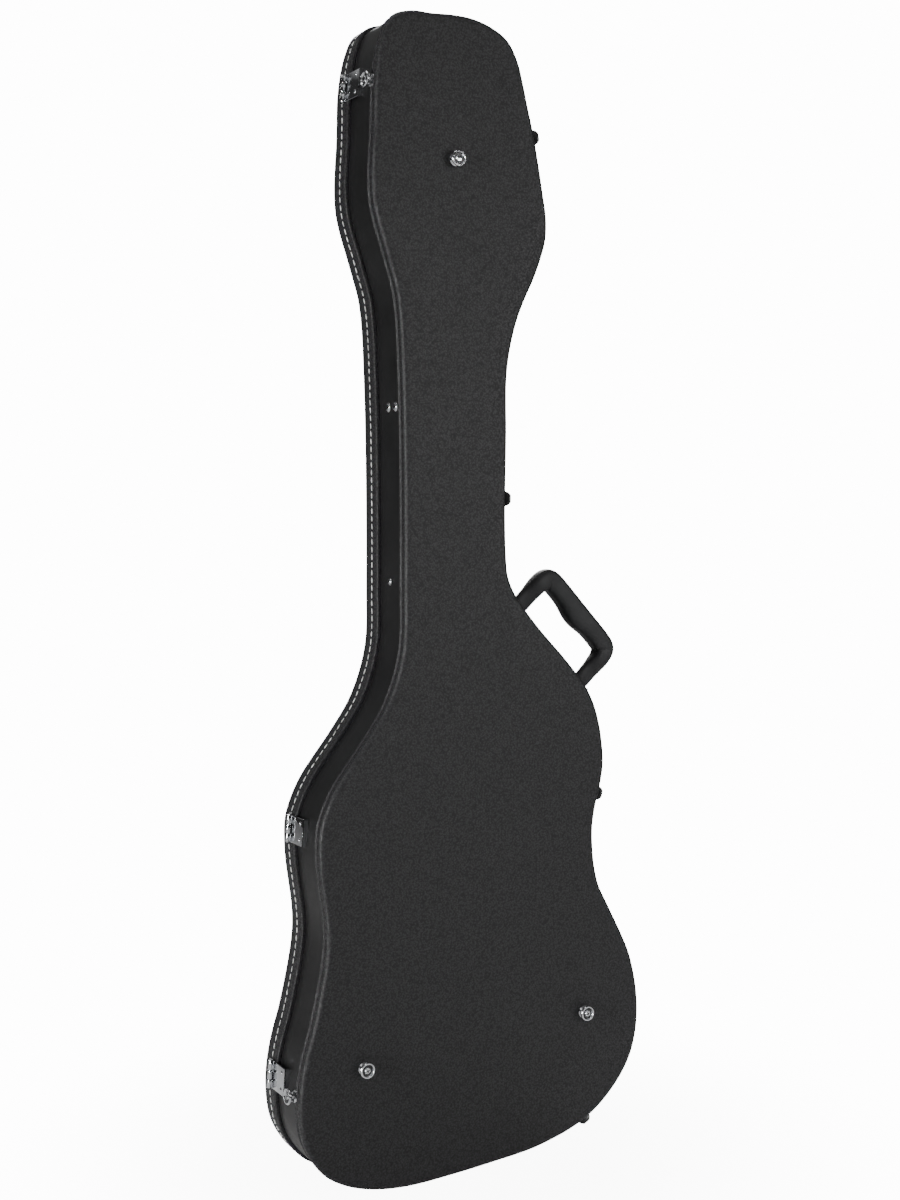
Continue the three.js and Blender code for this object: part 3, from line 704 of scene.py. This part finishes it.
class BuildLidTop(bpy.types.Operator):
    """Arched lid top in grained vinyl, with its hollow inside"""
    bl_idname = "guitar_case.lid_top"
    bl_label = "Lid top"

    def execute(self, _context):
        start = RIM_TO + 0.3 * MM
        arch = LID_TOP - start
        hollow = OVERHANG - WALL - 2 * MM
        board = 7 * MM
        outside = [(OVERHANG, 0), (3.05 * MM, 0.16), (2.6 * MM, 0.34), (1.4 * MM, 0.52),
                   (-0.8 * MM, 0.69), (-4 * MM, 0.82), (-8.5 * MM, 0.91), (-13 * MM, 0.96),
                   (-19 * MM, 1.0)]
        profile = [(growth, start + arch * share) for growth, share in reversed(outside)]
        profile += [
            (hollow, start), (hollow, LID_TOP - board - 1 * MM),
            (hollow - 1 * MM, LID_TOP - board), (-16 * MM, LID_TOP - board),
        ]
        bm = bmesh.new()
        capped_loft(bm, [ring(growth, depth) for growth, depth in profile])
        piece("lid_top_covering", bm, finish(grained_vinyl), "lid",
              ["lid_top"], sharp=60)
        return {"FINISHED"}


# ------------------------------------------------------------------- lining

# How many frames a pad's cloth simulation runs for
PLUMP_FRAMES = 20


def remeshed(bm, voxel):
    """The shape as an even mesh of small squares."""
    mesh = bpy.data.meshes.new("even")
    bm.to_mesh(mesh)
    bm.free()
    source = bpy.data.objects.new("even", mesh)
    bpy.context.scene.collection.objects.link(source)
    even = source.modifiers.new("Even", "REMESH")
    even.mode = "VOXEL"
    even.voxel_size = voxel
    depsgraph = bpy.context.evaluated_depsgraph_get()
    result = bmesh.new()
    result.from_object(source, depsgraph)
    bpy.data.objects.remove(source)
    return result


def plump(made, cap, pressure=4.0, held=None):
    """Fills a pad with air by a short cloth simulation and keeps the result."""
    scene = bpy.context.scene
    mesh = made.data
    rest = np.array([v.co for v in mesh.vertices])
    if held is not None:
        group = made.vertex_groups.new(name="glued")
        group.add([i for i, co in enumerate(rest) if held(co)], 1.0, "REPLACE")
    cloth = made.modifiers.new("Cloth", "CLOTH")
    cloth.settings.quality = 4
    cloth.settings.mass = 0.2
    cloth.settings.use_pressure = True
    cloth.settings.uniform_pressure_force = pressure
    cloth.settings.effector_weights.gravity = 0
    cloth.settings.tension_stiffness = 8
    cloth.settings.compression_stiffness = 8
    if held is not None:
        cloth.settings.vertex_group_mass = "glued"
    cloth.point_cache.frame_start = 1
    cloth.point_cache.frame_end = PLUMP_FRAMES
    for step in range(1, PLUMP_FRAMES + 1):
        scene.frame_set(step)
    swollen = made.evaluated_get(bpy.context.evaluated_depsgraph_get())
    moved = np.array([v.co for v in swollen.data.vertices]) - rest
    far = np.maximum(np.linalg.norm(moved, axis=1), 1e-9)
    moved *= np.minimum(1, cap / far)[:, None]
    made.modifiers.remove(cloth)
    scene.frame_set(1)
    mesh.vertices.foreach_set("co", (rest + moved).astype(np.float32).ravel())
    mesh.update()


def lining(name, bm, body, nodes, cap, held=None, pressure=4.0):
    """A plush-covered foam piece, plumped and then smoothed once."""
    made = piece(name, bm, finish(plush_pile), body, nodes, sharp=180)
    plump(made, cap, pressure, held)
    smooth = made.modifiers.new("Smooth", "SUBSURF")
    smooth.levels = smooth.render_levels = 1


def flat_pad(growth, from_depth, to_depth):
    """A thin flat pad inside the walls, as an even mesh with softened edges."""
    voxel = 7 * MM
    thick = 3 * voxel
    bm = bmesh.new()
    capped_loft(bm, [ring(growth, 0, 2), ring(growth, thick, 2)])
    bmesh.ops.recalc_face_normals(bm, faces=bm.faces)
    even = remeshed(bm, voxel)
    ys = [v.co.y for v in even.verts]
    low, high = min(ys), max(ys)
    for vert in even.verts:
        share = (vert.co.y - low) / (high - low)
        vert.co.y = BACK_Y - to_depth + share * (to_depth - from_depth)
    return even


class BuildShellLinings(bpy.types.Operator):
    """Plush pads on the base floor, round the base walls and inside the lid"""
    bl_idname = "guitar_case.shell_linings"
    bl_label = "Shell linings"

    def execute(self, context):
        swell = context.scene.case_sizes.pad_swell
        inside = -WALL - 1.2 * MM
        floor_held = BACK_Y - FLOOR_FROM - 1.2 * MM
        floor_pad = flat_pad(inside - swell, FLOOR_FROM + 0.2 * MM, FLOOR_TO - swell)
        lining("floor_pad", floor_pad, "base", ["base_floor_lining"], swell,
               lambda co: co[1] > floor_held, 2.0)
        lid_inside = OVERHANG - WALL - 4 * MM
        lid_held = BACK_Y - LID_LINING_TO + 1.2 * MM
        lid_pad = flat_pad(lid_inside, LID_LINING_FROM + swell, LID_LINING_TO - 0.2 * MM)
        lining("lid_pad", lid_pad, "lid", ["lid_lining"], swell,
               lambda co: co[1] < lid_held, 2.0)
        for node in ("side_lining_body", "side_lining_neck_hinge_side",
                     "side_lining_neck_handle_side", "side_lining_head"):
            self.side_strip(node, swell)
        return {"FINISHED"}

    def side_strip(self, node, swell):
        """One foam strip of the walls' lining, its front edge rolled over."""
        back, front = -WALL - 0.5 * MM, -WALL - SIDE_LINING + swell
        middle, half = (back + front) / 2, (back - front) / 2
        top = SIDE_TO - half
        glued = 5
        section = [(front, depth) for depth in np.linspace(SIDE_FROM + 1 * MM, top - 4 * MM, 7)]
        section += [(middle - half * math.cos(a), top + half * math.sin(a))
                    for a in np.linspace(0, math.pi, 7)]
        section += [(back, depth)
                    for depth in np.linspace(top - 6 * MM, SIDE_FROM + 1 * MM, glued)]
        low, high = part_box(node)
        middle_z = (low.z + high.z) / 2
        around = ring((front + back) / 2, 0, 2)
        kept = [low.z <= p.z <= high.z and low.x <= p.x <= high.x for p in around]
        starts = [i for i, inside in enumerate(kept) if inside and not kept[i - 1]]
        first = max(starts, key=lambda i: abs(around[i].z - middle_z))
        count = 0
        while kept[(first + count) % len(kept)]:
            count += 1
        rows = [ring(growth, depth, 2) for growth, depth in section]
        total = len(kept)
        stations = [[row[(first + i) % total] for row in rows] for i in range(-1, count + 1)]
        bottom_z, top_z = low.z + 0.2 * MM, high.z - 0.2 * MM
        for outer, inner in ((0, 1), (-1, -2)):
            start, end = stations[inner], stations[outer]
            rise = end[0].z - start[0].z
            share = ((top_z if rise > 0 else bottom_z) - start[0].z) / rise
            stations[outer] = [a.lerp(b, min(max(share, 0.05), 1)) for a, b in zip(start, end)]
        bm = bmesh.new()
        capped_loft(bm, stations)
        backs = {(round(p.x, 5), round(p.z, 5)) for p in ring(back, 0, 2)}
        backs |= {(round(p.x, 5), round(p.z, 5)) for end in (stations[0], stations[-1])
                  for p in end[-glued:]}
        lining(f"{node}_plush", bm, "base", [node], swell,
               lambda co: (round(float(co[0]), 5), round(float(co[2]), 5)) in backs)


def even_copy(node, voxel, shrink):
    """A node's solid as an even mesh, slightly smaller all round."""
    bm = bmesh.new()
    bm.from_mesh(frame["nodes"][node].data)
    bmesh.ops.remove_doubles(bm, verts=bm.verts, dist=0.01 * MM)
    even = remeshed(bm, voxel)
    bmesh.ops.smooth_vert(even, verts=even.verts, factor=0.5,
                          use_axis_x=True, use_axis_y=True, use_axis_z=True)
    even.normal_update()
    for vert in even.verts:
        vert.co -= vert.normal * shrink
    return even


class BuildCompartment(bpy.types.Operator):
    """Covered compartment under the neck, with its padded flap and ribbon pull"""
    bl_idname = "guitar_case.compartment"
    bl_label = "Compartment"

    def execute(self, _context):
        for end in ("tail", "head"):
            node = f"compartment_divider_{end}"
            lining(f"{node}_plush", even_copy(node, 3 * MM, 1 * MM), "base", [node], 1 * MM)
        lining("compartment_flap", even_copy("compartment_lid", 2.4 * MM, 0.8 * MM),
               "compartment_lid", ["compartment_lid"], 1 * MM)
        self.pull_tab()
        return {"FINISHED"}

    def pull_tab(self):
        """A ribbon folded double, its ends under the flap's cover."""
        low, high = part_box("compartment_pull_tab")
        half = (high.x - low.x) / 2
        middle = (high.x + low.x) / 2
        outer, inner = half, half * 0.55
        tall = high.y - low.y
        front = [(middle + outer * math.cos(a), low.y + outer - outer * math.sin(a))
                 for a in np.linspace(0, math.pi, 9)]
        back = [(middle + inner * math.cos(a), low.y + outer - inner * math.sin(a))
                for a in np.linspace(math.pi, 0, 9)]
        section = [(middle + outer, low.y + tall), *front, (middle - outer, low.y + tall),
                   (middle - inner, low.y + tall), *back, (middle + inner, low.y + tall)]
        bm = bmesh.new()
        capped_loft(bm, [[Vector((x, y, z)) for x, y in section]
                         for z in np.linspace(low.z, high.z, 5)])
        tab = piece("compartment_pull", bm, finish(woven_ribbon), "compartment_lid",
                    ["compartment_pull_tab"], sharp=50)


class BuildNeckCradle(bpy.types.Operator):
    """Plush-covered foam block with a notch for the neck"""
    bl_idname = "guitar_case.neck_cradle"
    bl_label = "Neck cradle"

    def execute(self, _context):
        lining("neck_cradle_foam", even_copy("neck_cradle", 3.5 * MM, 1.2 * MM), "base",
               ["neck_cradle"], 1.4 * MM)
        return {"FINISHED"}


# ----------------------------------------------------------------- hardware

def rivet_head(bm, x, y, z, place, radius=1.9, height=1.2):
    """A domed rivet head on a thin washer, at a place in millimetres."""
    at = place @ Matrix.Translation(Vector((x, y, z)) * MM)
    turned(bm, [(0, -0.4), (radius + 0.5, -0.4), (radius + 0.5, 0.15), (radius + 0.2, 0.35),
                (radius, 0.35), (radius * 0.94, height * 0.45), (radius * 0.72, height * 0.8),
                (radius * 0.38, height * 0.97), (0, height)], at, 24)


class BuildHinges(bpy.types.Operator):
    """Three plated hinges: two pressed leaves round a pin, with riveted corners"""
    bl_idname = "guitar_case.hinges"
    bl_label = "Hinges"

    # In millimetres
    length = 28.5
    lid_leaf = 11.5
    base_leaf = 32
    rivet_inset = 3.4
    rim_face = -4.2
    base_face = -3.2
    thick = 1.5
    barrel = 3
    flange_reach = -7.6

    def execute(self, _context):
        along = Vector(JOINTS["lid_hinge"]["axis"]).normalized()
        outward = Vector((along.z, 0, -along.x))
        for number in (1, 2, 3):
            low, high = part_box(f"hinge_{number}_pin")
            place = on_wall((low + high) / 2, outward)
            self.lid_side(number, place)
            self.base_side(number, place)
        return {"FINISHED"}

    def lid_side(self, number, place):
        """The leaf on the lid rim, with the middle knuckle."""
        half, third = self.length / 2, self.length / 6
        low, high = self.rim_face, self.rim_face + self.thick
        bm = bmesh.new()
        block(bm, (-half, 3.4, low), (half, self.lid_leaf, high), place, 0.5, 3)
        block(bm, (-third, -0.6, low), (third, 4.5, high), place, 0.2)
        bar(bm, self.barrel, (-third, 0, 0), (third, 0, 0), place)
        for x in (-half * 0.62, half * 0.62):
            rivet_head(bm, x, self.lid_leaf - self.rivet_inset, high, place)
        piece(f"hinge_{number}_lid_leaf_plate", bm, finish(chrome_plate), "lid",
              [f"hinge_{number}_lid_leaf"])

    def base_side(self, number, place):
        """The leaf on the wall, with the outer knuckles and the pin."""
        half, third = self.length / 2, self.length / 6 + 0.4
        low, high = self.base_face, self.base_face + self.thick
        bm = bmesh.new()
        block(bm, (-half, -self.base_leaf, low), (half, -3.5, high), place, 0.5, 3)
        block(bm, (-half, -self.base_leaf, self.flange_reach), (half, 1.5 - self.base_leaf, high),
              place, 0.5, 3)
        for near, far in ((-half, -third), (third, half)):
            block(bm, (near, -4.5, low), (far, 0.5, high), place, 0.2)
            bar(bm, self.barrel, (near, 0, 0), (far, 0, 0), place)
        bar(bm, 1.7, (-half - 0.6, 0, 0), (half + 0.6, 0, 0), place, 0.5)
        for x in (-half * 0.62, half * 0.62):
            rivet_head(bm, x, 2 * self.rivet_inset - self.base_leaf, high, place)
        piece(f"hinge_{number}_base_leaf_plate", bm, finish(chrome_plate), "base",
              [f"hinge_{number}_base_leaf", f"hinge_{number}_pin"])


class BuildLatches(bpy.types.Operator):
    """Four draw latches: a riveted plate, a black lever, a wire bail and a keeper"""
    bl_idname = "guitar_case.latches"
    bl_label = "Latches"

    # In millimetres
    pivot = (-10, 6)
    bail_pivot = (-20, 9)
    bail_end = 9.5
    bail_half = 11
    lever_half = 8.5
    plate_half = 15

    def execute(self, _context):
        for number in (1, 2, 3, 4):
            joint = JOINTS[f"latch_{number}_lever_hinge"]
            axis = Vector(joint["axis"]).normalized()
            outward = Vector((-axis.z, 0, axis.x))
            origin = Vector(joint["pos_m"]) - outward * self.pivot[1] * MM
            origin += Vector((0, self.pivot[0] * MM, 0))
            place = on_wall(origin, outward)
            self.plate(number, place)
            self.lever(number, place)
            self.bail(number, place)
            self.keeper(number, place)
        return {"FINISHED"}

    def plate(self, number, place):
        """The plate on the wall, with ears that hold the lever's pin."""
        half = self.plate_half
        y, z = self.pivot
        ear_out, ear_in = half - 0.8, self.bail_half + 1.6
        bm = bmesh.new()
        block(bm, (-half, -46, 0.3), (half, -2, 1.8), place, 0.6, 3)
        for low, high in ((-ear_out, -ear_in), (ear_in, ear_out)):
            block(bm, (low, y - 4, 0.6), (high, y + 4, z + 3.5), place, 0.5, 3)
        bar(bm, 1.3, (-ear_out - 0.5, y, z), (ear_out + 0.5, y, z), place)
        for x, down in ((-11.2, -42), (11.2, -42), (-11.2, -24), (11.2, -24)):
            rivet_head(bm, x, down, 1.8, place)
        piece(f"latch_{number}_plate_pressing", bm, finish(chrome_plate), "base",
              [f"latch_{number}_plate"])

    def lever(self, number, place):
        """The lever, its tip turned up and rounded."""
        half = self.lever_half
        y, z = self.pivot
        bm = bmesh.new()
        side = [(y + 2, z + 2.5), (y - 4, z + 4.5), (-24, z + 4.8), (-32, z + 4.5),
                (-38, z + 5), (-42, z + 6.4), (-44.8, z + 8.6), (-47, z + 11), (-50, z + 11),
                (-49, z + 8), (-46.4, z + 4.4), (-42, z + 1.6), (-36, z), (-26, z - 1),
                (-16, z - 1.5), (y - 2, z - 2.4), (y + 1, z - 2.6), (y + 3, z)]
        prism(bm, side, -half, half, place, 0.9, 4)
        back = place.inverted()
        for vert in bm.verts:
            here = back @ vert.co
            reach = (here.z / MM - z - 4) / 7
            if reach > 0:
                here.x *= math.sqrt(1 - (0.94 * min(reach, 1)) ** 2)
                vert.co = place @ here
        bar(bm, 3, (-half + 0.2, y, z), (half - 0.2, y, z), place)
        piece(f"latch_{number}_lever_pressing", bm, finish(black_enamel), f"latch_{number}_lever",
              [f"latch_{number}_lever"])

    def bail(self, number, place):
        """The wire loop from the lever to the keeper."""
        w, (y, z), end = self.bail_half, self.bail_pivot, self.bail_end
        bend = 2.6
        turn = np.linspace(0, math.pi / 2, 7)
        one_side = [(self.lever_half + 0.3, y), (w - bend, y)]
        one_side += [(w - bend + bend * math.sin(a), y + bend - bend * math.cos(a))
                     for a in turn[1:]]
        one_side += [(w, t) for t in np.linspace(y + bend + 3, end - bend - 3, 5)]
        one_side += [(w - bend + bend * math.cos(a), end - bend + bend * math.sin(a)) for a in turn]
        whole = one_side + [(-x, t) for x, t in reversed(one_side)]
        bm = bmesh.new()
        tube(bm, [place @ (Vector((x, t, z)) * MM) for x, t in whole], 1.2 * MM)
        piece(f"latch_{number}_bail_wire", bm, finish(chrome_plate), f"latch_{number}_bail",
              [f"latch_{number}_bail"])

    def keeper(self, number, place):
        """The plate on the lid rim, with the lip that the bail pulls on."""
        face = OVERHANG / MM
        bm = bmesh.new()
        block(bm, (-11, 3, face + 0.3), (11, 18, face + 1.8), place, 0.5, 3)
        lip = [(4.6, face + 1), (5.0, 5.6), (5.6, 6.8), (6.6, 7.3), (7.6, 7.3), (8.2, 7),
               (7.6, 6.1), (7.1, 5.2), (7, face + 1)]
        prism(bm, lip, -8, 8, place, 0.15)
        for x in (-6, 6):
            rivet_head(bm, x, 13.5, face + 1.8, place)
        piece(f"latch_{number}_keeper_pressing", bm, finish(chrome_plate), "lid",
              [f"latch_{number}_keeper"])


class BuildHandle(bpy.types.Operator):
    """Moulded handle with a waved grip, and its two riveted brackets"""
    bl_idname = "guitar_case.handle"
    bl_label = "Handle"

    # In millimetres
    half = 70
    leg = 20
    reach = 75
    inner = 49
    pivot = 8

    def execute(self, _context):
        joint = JOINTS["handle_swing"]
        along = Vector(joint["axis"]).normalized()
        outward = Vector((along.z, 0, -along.x))
        place = on_wall(Vector(joint["pos_m"]) - outward * self.pivot * MM, outward)
        self.grip(place)
        for side, end in ((1, "tail"), (-1, "head")):
            self.bracket(side, end, place)
        return {"FINISHED"}

    def stations(self):
        """Inner point, outer point, thickness and crease, from one foot to the middle."""
        h, leg, r, i = self.half, self.leg, self.reach, self.inner
        corner = (h - leg - 1.5, i + 0.5)
        rows = [((h - leg, z), (h, z), thick, 0) for z, thick in
                ((self.pivot + 0.01, 10), (20, 10), (28, 10.5), (34, 13), (39, 17), (43, 19.5))]
        rows.append(((h - leg - 0.2, i - 2), (h, i - 1.5), 21, 0))
        for share, crease in ((0.1, 0), (0.24, 0), (0.38, 0.2), (0.48, 1.0), (0.58, 0.2),
                              (0.72, 0), (0.86, 0)):
            x = h * (1 - share) ** 2 + 2 * h * share * (1 - share) + (h - 25) * share ** 2
            z = (r - 25) * (1 - share) ** 2 + 2 * r * share * (1 - share) + r * share ** 2
            drift = (share - 0.1) * 6
            near = (corner[0] - drift * 0.6, corner[1] + 1.2 * min(1, drift))
            rows.append((near, (x, z), 21.5, crease))
        for x in (41, 36, 30, 24, 18, 12, 6, 0):
            wave = 4.5 * (0.5 + 0.5 * math.cos(math.pi * min(1, x / 30)))
            rows.append(((x, i + 2 - wave), (x, r), 22, 0))
        return rows

    def section(self, row, sign, place):
        """A rounded oblong between the inner and outer points of one station."""
        (x0, z0), (x1, z1), thick, crease = row
        points = []
        for a in np.arange(28) * 2 * math.pi / 28:
            u = math.copysign(abs(math.cos(a)) ** 0.62, math.cos(a))
            v = math.copysign(abs(math.sin(a)) ** 0.62, math.sin(a))
            share = (1 + u) / 2
            pinch = crease * max(0, 0.75 - share) * 1.6
            x = x0 + (x1 - x0) * share
            z = z0 + (z1 - z0) * share
            points.append(place @ (Vector((sign * x, v * (thick / 2 - pinch), z)) * MM))
        return points

    def grip(self, place):
        """The moulded handle, from one pivot round to the other."""
        rows = self.stations()
        rings = [self.section(row, 1, place) for row in rows]
        rings += [self.section(row, -1, place) for row in reversed(rows[:-1])]
        bm = bmesh.new()
        capped_loft(bm, rings)
        for sign in (1, -1):
            near, far = sorted((sign * (self.half - self.leg + 0.2), sign * (self.half - 0.2)))
            bar(bm, 5, (near, 0, self.pivot), (far, 0, self.pivot), place, 0.8)
        made = piece("handle_grip", bm, finish(moulded_grip), "handle", ["handle"],
                     sharp=70)
        smooth = made.modifiers.new("Smooth", "SUBSURF")
        smooth.levels = smooth.render_levels = 1

    def bracket(self, side, end, place):
        """A plate on the wall with two ears for one end of the handle."""
        ear = 2.2
        near = self.half - self.leg - 0.6 - ear
        far = self.half + 0.6 + ear
        low, high = sorted((side * near, side * far))
        top = self.pivot + 5
        bm = bmesh.new()
        block(bm, (low - 5, -13, -11), (high + 5, 13, 1.8), place, 0.8, 3)
        for a, b in ((low, low + ear), (high - ear, high)):
            block(bm, (a, -6, 0), (b, 6, top), place, 1.0, 3)
        bar(bm, 2.2, (low - 0.6, 0, self.pivot), (high + 0.6, 0, self.pivot), place, 0.6)
        for y in (-9.4, 9.4):
            for x in (low + 2, high - 2):
                rivet_head(bm, x, y, 1.8, place, 2)
        piece(f"handle_bracket_{end}_pressing", bm, finish(chrome_plate), "base",
              [f"handle_bracket_{end}"])


class BuildFeet(bpy.types.Operator):
    """Five plated stud feet, each a waisted stem with a dished, screwed face"""
    bl_idname = "guitar_case.feet"
    bl_label = "Feet"

    # In millimetres
    radius = 8.6
    height = 10
    face_radius = 7.15

    def execute(self, _context):
        for number in (1, 2, 3):
            low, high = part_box(f"back_foot_{number}")
            centre = (low + high) / 2
            base = Vector((centre.x, BACK_Y, centre.z))
            self.stud(f"back_foot_{number}", base, Vector((0, 1, 0)))
        for number in (1, 2):
            mount = MOUNTS[f"side_foot_{number}_face"]
            outward = Vector(mount["axis"]).normalized()
            along = Vector((-outward.z, 0, outward.x))
            face = Vector(mount["pos_m"]) - along * self.face_radius * MM
            self.stud(f"side_foot_{number}", face - outward * self.height * MM, outward)
        return {"FINISHED"}

    def stud(self, node, origin, outward):
        """One foot, and black pieces in its dished face: painted shade for the screw's cross and the recessed
        ring.
        """
        r, h = self.radius, self.height
        turn = outward.to_track_quat("Z", "Y").to_matrix().to_4x4()
        place = Matrix.Translation(origin) @ turn
        bm = bmesh.new()
        turned(bm, [
            (0, 0.3), (6.8, 0.3), (7, 0.6), (6.8, 1.3), (5.8, 2), (4.9, 2.8), (4.7, 4),
            (4.8, h - 3.7), (6.2, h - 3.3), (r - 0.6, h - 2.8), (r - 0.1, h - 2.1), (r, h - 1.3),
            (r - 0.3, h - 0.5), (r - 0.8, h), (r - 1.9, h), (r - 2.4, h - 0.5),
            (r - 2.7, h - 1.9), (r - 3.2, h - 2.4), (3.9, h - 2.4), (3.5, h - 1.9),
            (3.3, h - 0.9), (2.8, h - 0.3), (1.6, h - 0.15), (0, h - 0.1)], place, 56)
        for sixth in range(6):
            lug = place @ Matrix.Rotation(sixth * math.pi / 3, 4, "Z")
            bmesh.ops.create_uvsphere(
                bm, u_segments=14, v_segments=10, radius=1,
                matrix=lug @ Matrix.Translation((4.6 * MM, 0, 3.7 * MM))
                @ Matrix.Diagonal((1.4 * MM, 1.3 * MM, 2.5 * MM, 1)))
        piece(f"{node}_stud", bm, finish(chrome_plate), "base", [node])
        # Painted shade: a black cross and a black ring stand for the shadow in the screw's cross-cut and in the
        # recessed ring.
        shade_marks = bmesh.new()
        for quarter in (0.4, 0.4 + math.pi / 2):
            block(shade_marks, (-2.2, -0.45, h - 0.6), (2.2, 0.45, h + 0.05),
                  place @ Matrix.Rotation(quarter, 4, "Z"), 0.1)
        turned(shade_marks, [(4, h - 2.4), (4, h - 2), (r - 3.1, h - 2), (r - 3.1, h - 2.4)], place, 48)
        piece(f"{node}_slot_and_ring_shade", shade_marks, finish(black_enamel), "base")


class BuildRivets(bpy.types.Operator):
    """Domed rivets that hold the compartment's dividers to the wall"""
    bl_idname = "guitar_case.rivets"
    bl_label = "Compartment rivets"

    def execute(self, _context):
        for number in (1, 2, 3):
            node = f"compartment_rivet_{number}"
            low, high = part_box(node)
            centre = (low + high) / 2
            outward = outward_near(centre)
            base = centre - outward * 1.2 * MM
            bm = bmesh.new()
            radius = (high.z - low.z) / 2 / MM - 0.7
            rivet_head(bm, 0, 0, 0.2, on_wall(base, outward), radius, 2.1)
            piece(f"{node}_head", bm, finish(chrome_plate), "base", [node])
        return {"FINISHED"}


# -------------------------------------------------------------------- stage

class BuildStage(bpy.types.Operator):
    """White floor, soft studio lights and the camera"""
    bl_idname = "guitar_case.stage"
    bl_label = "Stage"

    # Metres from the origin, degrees round and up, and the lens in millimetres
    camera_at = (0.8627, 1.5133, 0.7210)
    yaw = 29.5
    pitch = 3.3
    lens = 48
    lights = (
        # name, place, target, size, watts, beam in degrees
        ("edge_strip", (2.6, 0.72, 0.5), (0, 0.05, 0.45), (0.2, 1.7), 13, 60),
        ("neck_softbox", (-1.4, 2.4, 1.15), (0, 0, 0.8), (0.9, 0.9), 26, 180),
        ("back_softbox", (1.2, 3.0, 2.2), (0, 0, 0.6), (1.6, 1.6), 5, 180),
        ("front_softbox", (-1.5, -2.6, 1.8), (0, 0, 0.6), (1.8, 2.2), 16, 50),
        ("top_softbox", (0.2, 0.0, 3.0), (0, 0, 0.8), (1.4, 0.9), 14, 180),
    )

    def execute(self, context):
        self.floor()
        self.camera(context.scene)
        for name, place, target, size, watts, beam in self.lights:
            self.light(name, Vector(place), Vector(target), size, watts, beam)
        self.surroundings(context.scene)
        return {"FINISHED"}

    def floor(self):
        bm = bmesh.new()
        bmesh.ops.create_circle(bm, cap_ends=True, segments=96, radius=8)
        mesh = bpy.data.meshes.new("paper_floor")
        bm.to_mesh(mesh)
        bm.free()
        mesh.materials.append(finish(studio_floor))
        floor = bpy.data.objects.new("paper_floor", mesh)
        bpy.context.scene.collection.objects.link(floor)

    def camera(self, scene):
        yaw, pitch = math.radians(self.yaw), math.radians(self.pitch)
        back = Vector((math.sin(yaw) * math.cos(pitch), math.cos(yaw) * math.cos(pitch),
                       math.sin(pitch)))
        data = bpy.data.cameras.new("camera")
        data.lens = self.lens
        data.sensor_width = 36
        camera = bpy.data.objects.new("camera", data)
        scene.collection.objects.link(camera)
        camera.location = self.camera_at
        camera.rotation_euler = (-back).to_track_quat("-Z", "Y").to_euler()
        scene.camera = camera

    def light(self, name, place, target, size, watts, beam):
        data = bpy.data.lights.new(name, "AREA")
        data.shape = "RECTANGLE"
        data.size, data.size_y = size
        data.energy = watts
        data.spread = math.radians(beam)
        lamp = bpy.data.objects.new(name, data)
        bpy.context.scene.collection.objects.link(lamp)
        lamp.location = place
        lamp.rotation_euler = (target - place).to_track_quat("-Z", "Y").to_euler()

    def surroundings(self, scene):
        world = bpy.data.worlds.new("white_studio")
        world.use_nodes = True
        scene.world = world
        tree = world.node_tree
        tree.nodes.clear()
        away = add(tree, "ShaderNodeTexCoord").outputs["Generated"]
        height = add(tree, "ShaderNodeSeparateXYZ", links={"Vector": away}).outputs["Z"]
        room = ramp(tree, height, [(0.0, grey(0.03)), (0.36, grey(0.04)), (0.48, grey(0.5)),
                                  (0.62, grey(0.12)), (1.0, grey(0.16))])
        lit = add(tree, "ShaderNodeBackground", {"Strength": 1.0}, {"Color": room})
        seen = add(tree, "ShaderNodeBackground", {"Color": grey(1), "Strength": WHITE_SEEN})
        path = add(tree, "ShaderNodeLightPath")
        mix = add(tree, "ShaderNodeMixShader", links={
            "Fac": path.outputs["Is Camera Ray"], 1: lit.outputs["Background"],
            2: seen.outputs["Background"]})
        add(tree, "ShaderNodeOutputWorld", links={"Surface": mix.outputs["Shader"]})


# ----------------------------------------------------------------- the add-on

PIECE_OPERATORS = (
    BuildStage, BuildBackPanel, BuildBaseWall, BuildLidRim, BuildStitching, BuildLidTop,
    BuildShellLinings, BuildCompartment, BuildNeckCradle, BuildHinges, BuildLatches,
    BuildHandle, BuildFeet, BuildRivets,
)


class GuitarCasePanel(bpy.types.Panel):
    """Sizes, colours and the buttons that build each piece"""
    bl_idname = "VIEW3D_PT_guitar_case"
    bl_label = "Guitar case"
    bl_space_type = "VIEW_3D"
    bl_region_type = "UI"
    bl_category = "Guitar case"

    def draw(self, context):
        layout = self.layout
        for group in (context.scene.case_sizes, context.scene.case_colours):
            for name in group.bl_rna.properties.keys():
                if name not in ("rna_type", "name"):
                    layout.prop(group, name)
        for operator in PIECE_OPERATORS:
            layout.operator(operator.bl_idname)


CLASSES = (CaseSizes, CaseColours, *PIECE_OPERATORS, GuitarCasePanel)


def register():
    for cls in CLASSES:
        bpy.utils.register_class(cls)
    bpy.types.Scene.case_sizes = PointerProperty(type=CaseSizes)
    bpy.types.Scene.case_colours = PointerProperty(type=CaseColours)


def unregister():
    del bpy.types.Scene.case_colours
    del bpy.types.Scene.case_sizes
    for cls in reversed(CLASSES):
        bpy.utils.unregister_class(cls)


def main():
    register()
    for operator in PIECE_OPERATORS:
        group, name = operator.bl_idname.split(".")
        getattr(getattr(bpy.ops, group), name)()


if __name__ == "__main__":
    main()
